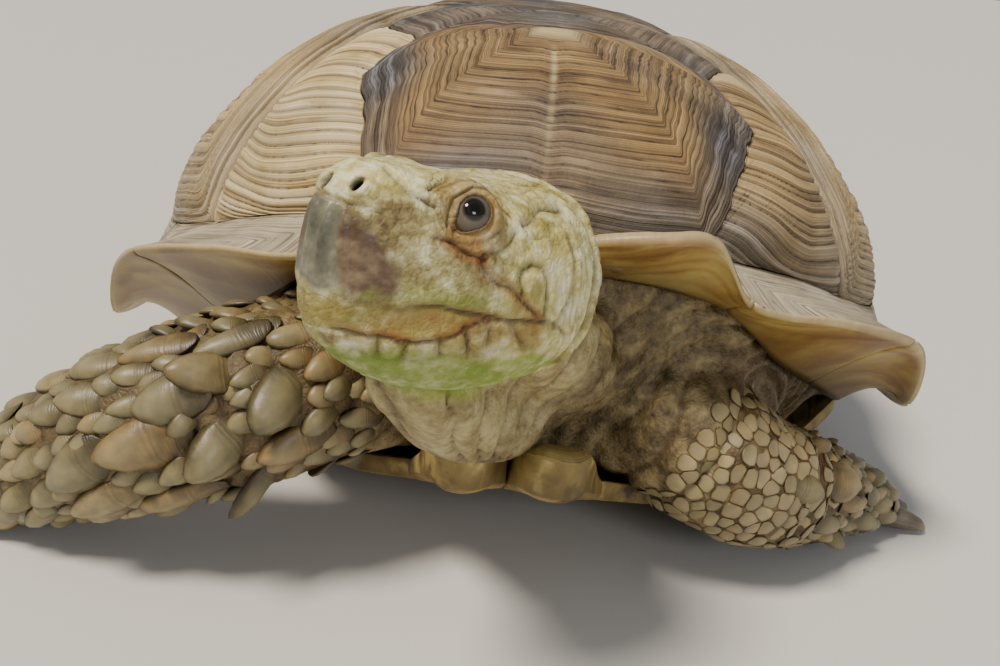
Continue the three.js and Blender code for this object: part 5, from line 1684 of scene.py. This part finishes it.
def make_claws(material):
    for name, (heel, heading, reach, length, count, spread, thick) in CLAWS.items():
        for i in range(count):
            turn = math.radians(heading + spread * (i - (count - 1) / 2))
            way = np.array([math.cos(turn), math.sin(turn)])
            root, tip = np.array(heel) + way * (reach - 8), np.array(heel) + way * (reach + length)
            bend = mix(root, tip, 0.6)
            stations = [
                (*root, thick + 3, thick * 0.95, thick * 0.8),
                (*bend, thick * 1.12, thick * 0.9, thick * 0.72),
                (*mix(bend, tip, 0.75), thick * 0.75, thick * 0.62, thick * 0.5),
                (*tip, thick * 0.45, thick * 0.3, thick * 0.28),
            ]
            claw = Limb(stations, 0.0, fullness=2.2)
            rows = claw.rows(1.3, 26)
            rows[..., 2] = np.maximum(rows[..., 2], 0.5)
            along = np.linspace(0, 1, len(rows))[:, None]
            around = np.abs(np.linspace(-1, 1, rows.shape[1]))[None, :]
            piece = grid_piece(f"{name}_claw_{i + 1}", rows, {"along": along, "turn": around + i})
            finish_piece(piece, material, "leg_scales")


# ---------------------------------------------------------------- plastron
FLAT = {"front": 150, "front_run": 195, "side": 150, "side_run": 92, "rear": 195, "rear_run": 75}
GULAR_RISE, BRIDGE_RISE, ANAL_RISE = 78.0, 57.0, 12.0
PLASTRON_THICK, GULAR_EXTRA, GULAR_NECK = 12.0, 16.0, -292.0


def bridge_end(bearing):
    radius = rim_at(bearing)[6] - 1.2
    b = math.radians(bearing)
    return (radius * math.sin(b), -radius * math.cos(b))


PLASTRON = {
    "gular": ([(0, -298), (0, -330), (6, -346), (16, -357), (27, -359), (36, -352), (42, -338), (47, -316),
               (55, -298)], (24, -328)),
    "humeral": ([(0, -208), (0, -298), (55, -298), (80, -284), (97, -252), (108, -215)], (48, -250)),
    "pectoral": ([(0, -165), (0, -208), (108, -215), (138, -190), bridge_end(63), bridge_end(72), (120, -156)],
                 (128, -178)),
    "abdominal": ([(0, 68), (0, -165), (120, -156), bridge_end(72), bridge_end(82), bridge_end(92),
                   bridge_end(102), bridge_end(112), (130, 100), (118, 78)], (110, -30)),
    "femoral": ([(0, 178), (0, 68), (118, 78), (124, 120), (118, 165), (104, 200)], (58, 128)),
    "anal": ([(0, 228), (0, 178), (104, 200), (92, 238), (66, 262), (38, 262), (16, 244)], (48, 220)),
}


def plastron_z(x, y):
    front = GULAR_RISE * np.clip((-y - FLAT["front"]) / FLAT["front_run"], 0, 1) ** 1.4
    bridge = BRIDGE_RISE * np.clip((np.abs(x) - FLAT["side"]) / FLAT["side_run"], 0, 1) ** 1.5
    rear = ANAL_RISE * np.clip((y - FLAT["rear"]) / FLAT["rear_run"], 0, 1) ** 1.5
    return front + bridge + rear


def plastron_depth(y):
    return PLASTRON_THICK + GULAR_EXTRA * smooth(0, 55, GULAR_NECK - y)


def plastron_plate(name, outline, centre, sign, seed):
    """A flat plate of the under shell with worn growth lines; the gular pair are thick blunt prongs."""
    prong = name.startswith("gular")
    bulge, blunt = (9.0, 0.55) if prong else (2.5, 0.5)      # width and share of the rounded edge
    line = evenly(outline, 40, 4, least=60)
    for _ in range(6 if prong else 1):
        line = eased(line)
    line[:, 0] = np.maximum(line[:, 0], 0.0)
    line = np.concatenate([line, line[:1]])
    reach = apart(line, centre)
    inset = 1 - SEAM / reach
    share = np.concatenate([np.linspace(0, 0.9, 26), np.linspace(0.92, 1, 8)])[:, None]
    grown = share + 0.012 * waves(np.append(line, line[:, :1], 1), 30, seed)[None, :] * share
    flat = centre + (share * inset)[..., None] * (line - centre)
    x, y = flat[..., 0], flat[..., 1]
    from_edge = (1 - share) * reach
    ridge = rings_at(grown, 16, seed)
    inward = bulge * blunt * edge_drop(from_edge, bulge)
    level = plastron_z(x, y)
    under = level + inward + 0.7 * (1 - ridge) * smooth(0, 4, from_edge) * (level > 6)
    over = level + plastron_depth(y) - inward
    rows = np.concatenate([np.stack([x, y, under], -1), np.stack([x, y, over], -1)[::-1]])
    rows[..., 0] *= sign
    swell = smooth(6, 26, -(rows[..., 1] + 318)) if prong else 0 * rows[..., 0]
    rows[..., 2] += swell * 1.2 * waves(rows, 24, seed)
    values = {
        "ridge": np.concatenate([ridge * np.ones_like(x), np.ones_like(x)]),
        "growth": np.concatenate([grown, grown[::-1]]),
    }
    return grid_piece(name + "_horn", rows, values)


def plastron_horn():
    """Worn plastron keratin: ochre-olive horn with dark growth lines and painted shade in the grooves, rubbed
    smooth by the ground.
    """
    material, tree, shader, (ridge, growth) = start_material(
        "Worn plastron keratin", 0.5, 0.45, "ridge growth")
    coords = add(tree, "TexCoord", out="Object")
    cloud = add(tree, "TexNoise", {"Vector": coords, "Scale": 55.0, "Detail": 9.0})
    bands = lines_across(tree, growth, 40.0, cloud, 3.0, 2.0)
    both = add(tree, "Mix", {0: 0.3, 2: cloud, 3: bands})
    horn = add(tree, "ValToRGB", {"Fac": both}, [
        (0.34, "3d3119"), (0.45, "6d5a2e"), (0.56, "968045"), (0.7, "bba86c")])
    # painted shade: darker in the growth grooves, where the ridge value is low
    groove_shade = add(tree, "MapRange", {0: ridge, 1: 0.0, 2: 0.7, 3: 0.6, 4: 0.0})
    colour = add(tree, "Mix", {0: groove_shade, 6: horn, 7: srgb("4d3b20")}, data_type="RGBA")
    grain = add(tree, "TexNoise", {"Vector": coords, "Scale": 260.0, "Detail": 5.0})
    relief = add(tree, "Math", {0: bands, 1: 0.8, 2: grain}, operation="MULTIPLY_ADD")
    cover(tree, shader, colour, relief, 0.4, 0.001)
    return material


def make_plastron(material):
    for i, (name, (outline, centre)) in enumerate(PLASTRON.items()):
        for side, sign in (("left", 1), ("right", -1)):
            node = f"{name}_{side}"
            piece = plastron_plate(node, outline, centre, sign, 500 + 11 * i + sign)
            finish_piece(piece, material, "plastron_horn", node)


# ---------------------------------------------------------------- stage, light and camera


def lamp(name, kind, energy, code, facing, at=(0, 0, 0)):
    """A light of a hex colour that looks along `facing`."""
    light = bpy.data.lights.new(name, kind)
    light.energy = energy
    light.color = srgb(code)[:3]
    stand = stand_up(name, light)
    stand.location = at
    stand.rotation_euler = Vector(facing).to_track_quat("-Z", "Y").to_euler()
    return light


def make_stage():
    bpy.ops.mesh.primitive_plane_add(size=400.0, location=(0, 0, 0))
    floor = bpy.context.object
    floor.name = "floor"
    material, _, shader, _ = start_material("Pale matt floor", 0.9)
    shader.inputs["Base Color"].default_value = srgb("d2d0ca")
    floor.data.materials.append(material)
    world = bpy.data.worlds.new("Studio")
    bpy.context.scene.world = world
    world.use_nodes = True
    backdrop = world.node_tree.nodes["Background"]
    backdrop.inputs["Color"].default_value = srgb("e6ebf2")
    backdrop.inputs["Strength"].default_value = 0.36
    sky = lamp("sky", "SUN", 4.3, "fff4e4", (0.5, 0.42, -1.0))
    sky.angle = math.radians(16)
    soft = lamp("soft", "AREA", 10.0, "f2f5ff", (-0.9, 1.85, -0.85), at=(0.9, -2.0, 1.0))
    soft.size = 0.5


def make_camera():
    yaw, pitch, roll = (math.radians(a) for a in (CAMERA_YAW, CAMERA_PITCH, CAMERA_ROLL))
    ahead = Vector((math.sin(yaw) * math.cos(pitch), math.cos(yaw) * math.cos(pitch), -math.sin(pitch)))
    level = Vector((math.cos(yaw), -math.sin(yaw), 0))
    over = level.cross(ahead)
    right = level * math.cos(roll) + over * math.sin(roll)
    above = over * math.cos(roll) - level * math.sin(roll)
    lens = bpy.data.cameras.new("camera")
    lens.sensor_width = SENSOR
    lens.lens = SENSOR * FOCAL_SHARE
    lens.clip_start = 0.01
    camera = stand_up("camera", lens)
    turn = Matrix((right, above, -ahead)).transposed().to_4x4()
    camera.matrix_world = Matrix.Translation(place(CAMERA_AT)) @ turn
    bpy.context.scene.camera = camera


make_camera()
make_stage()
make_carapace(keratin_plate())
make_rim(keratin_rim())
skin_piece = make_skin(tortoise_skin())
make_coat(skin_piece, horny_scale())
make_claws(claw_horn())
make_plastron(plastron_horn())
make_eyes(tortoise_eye())
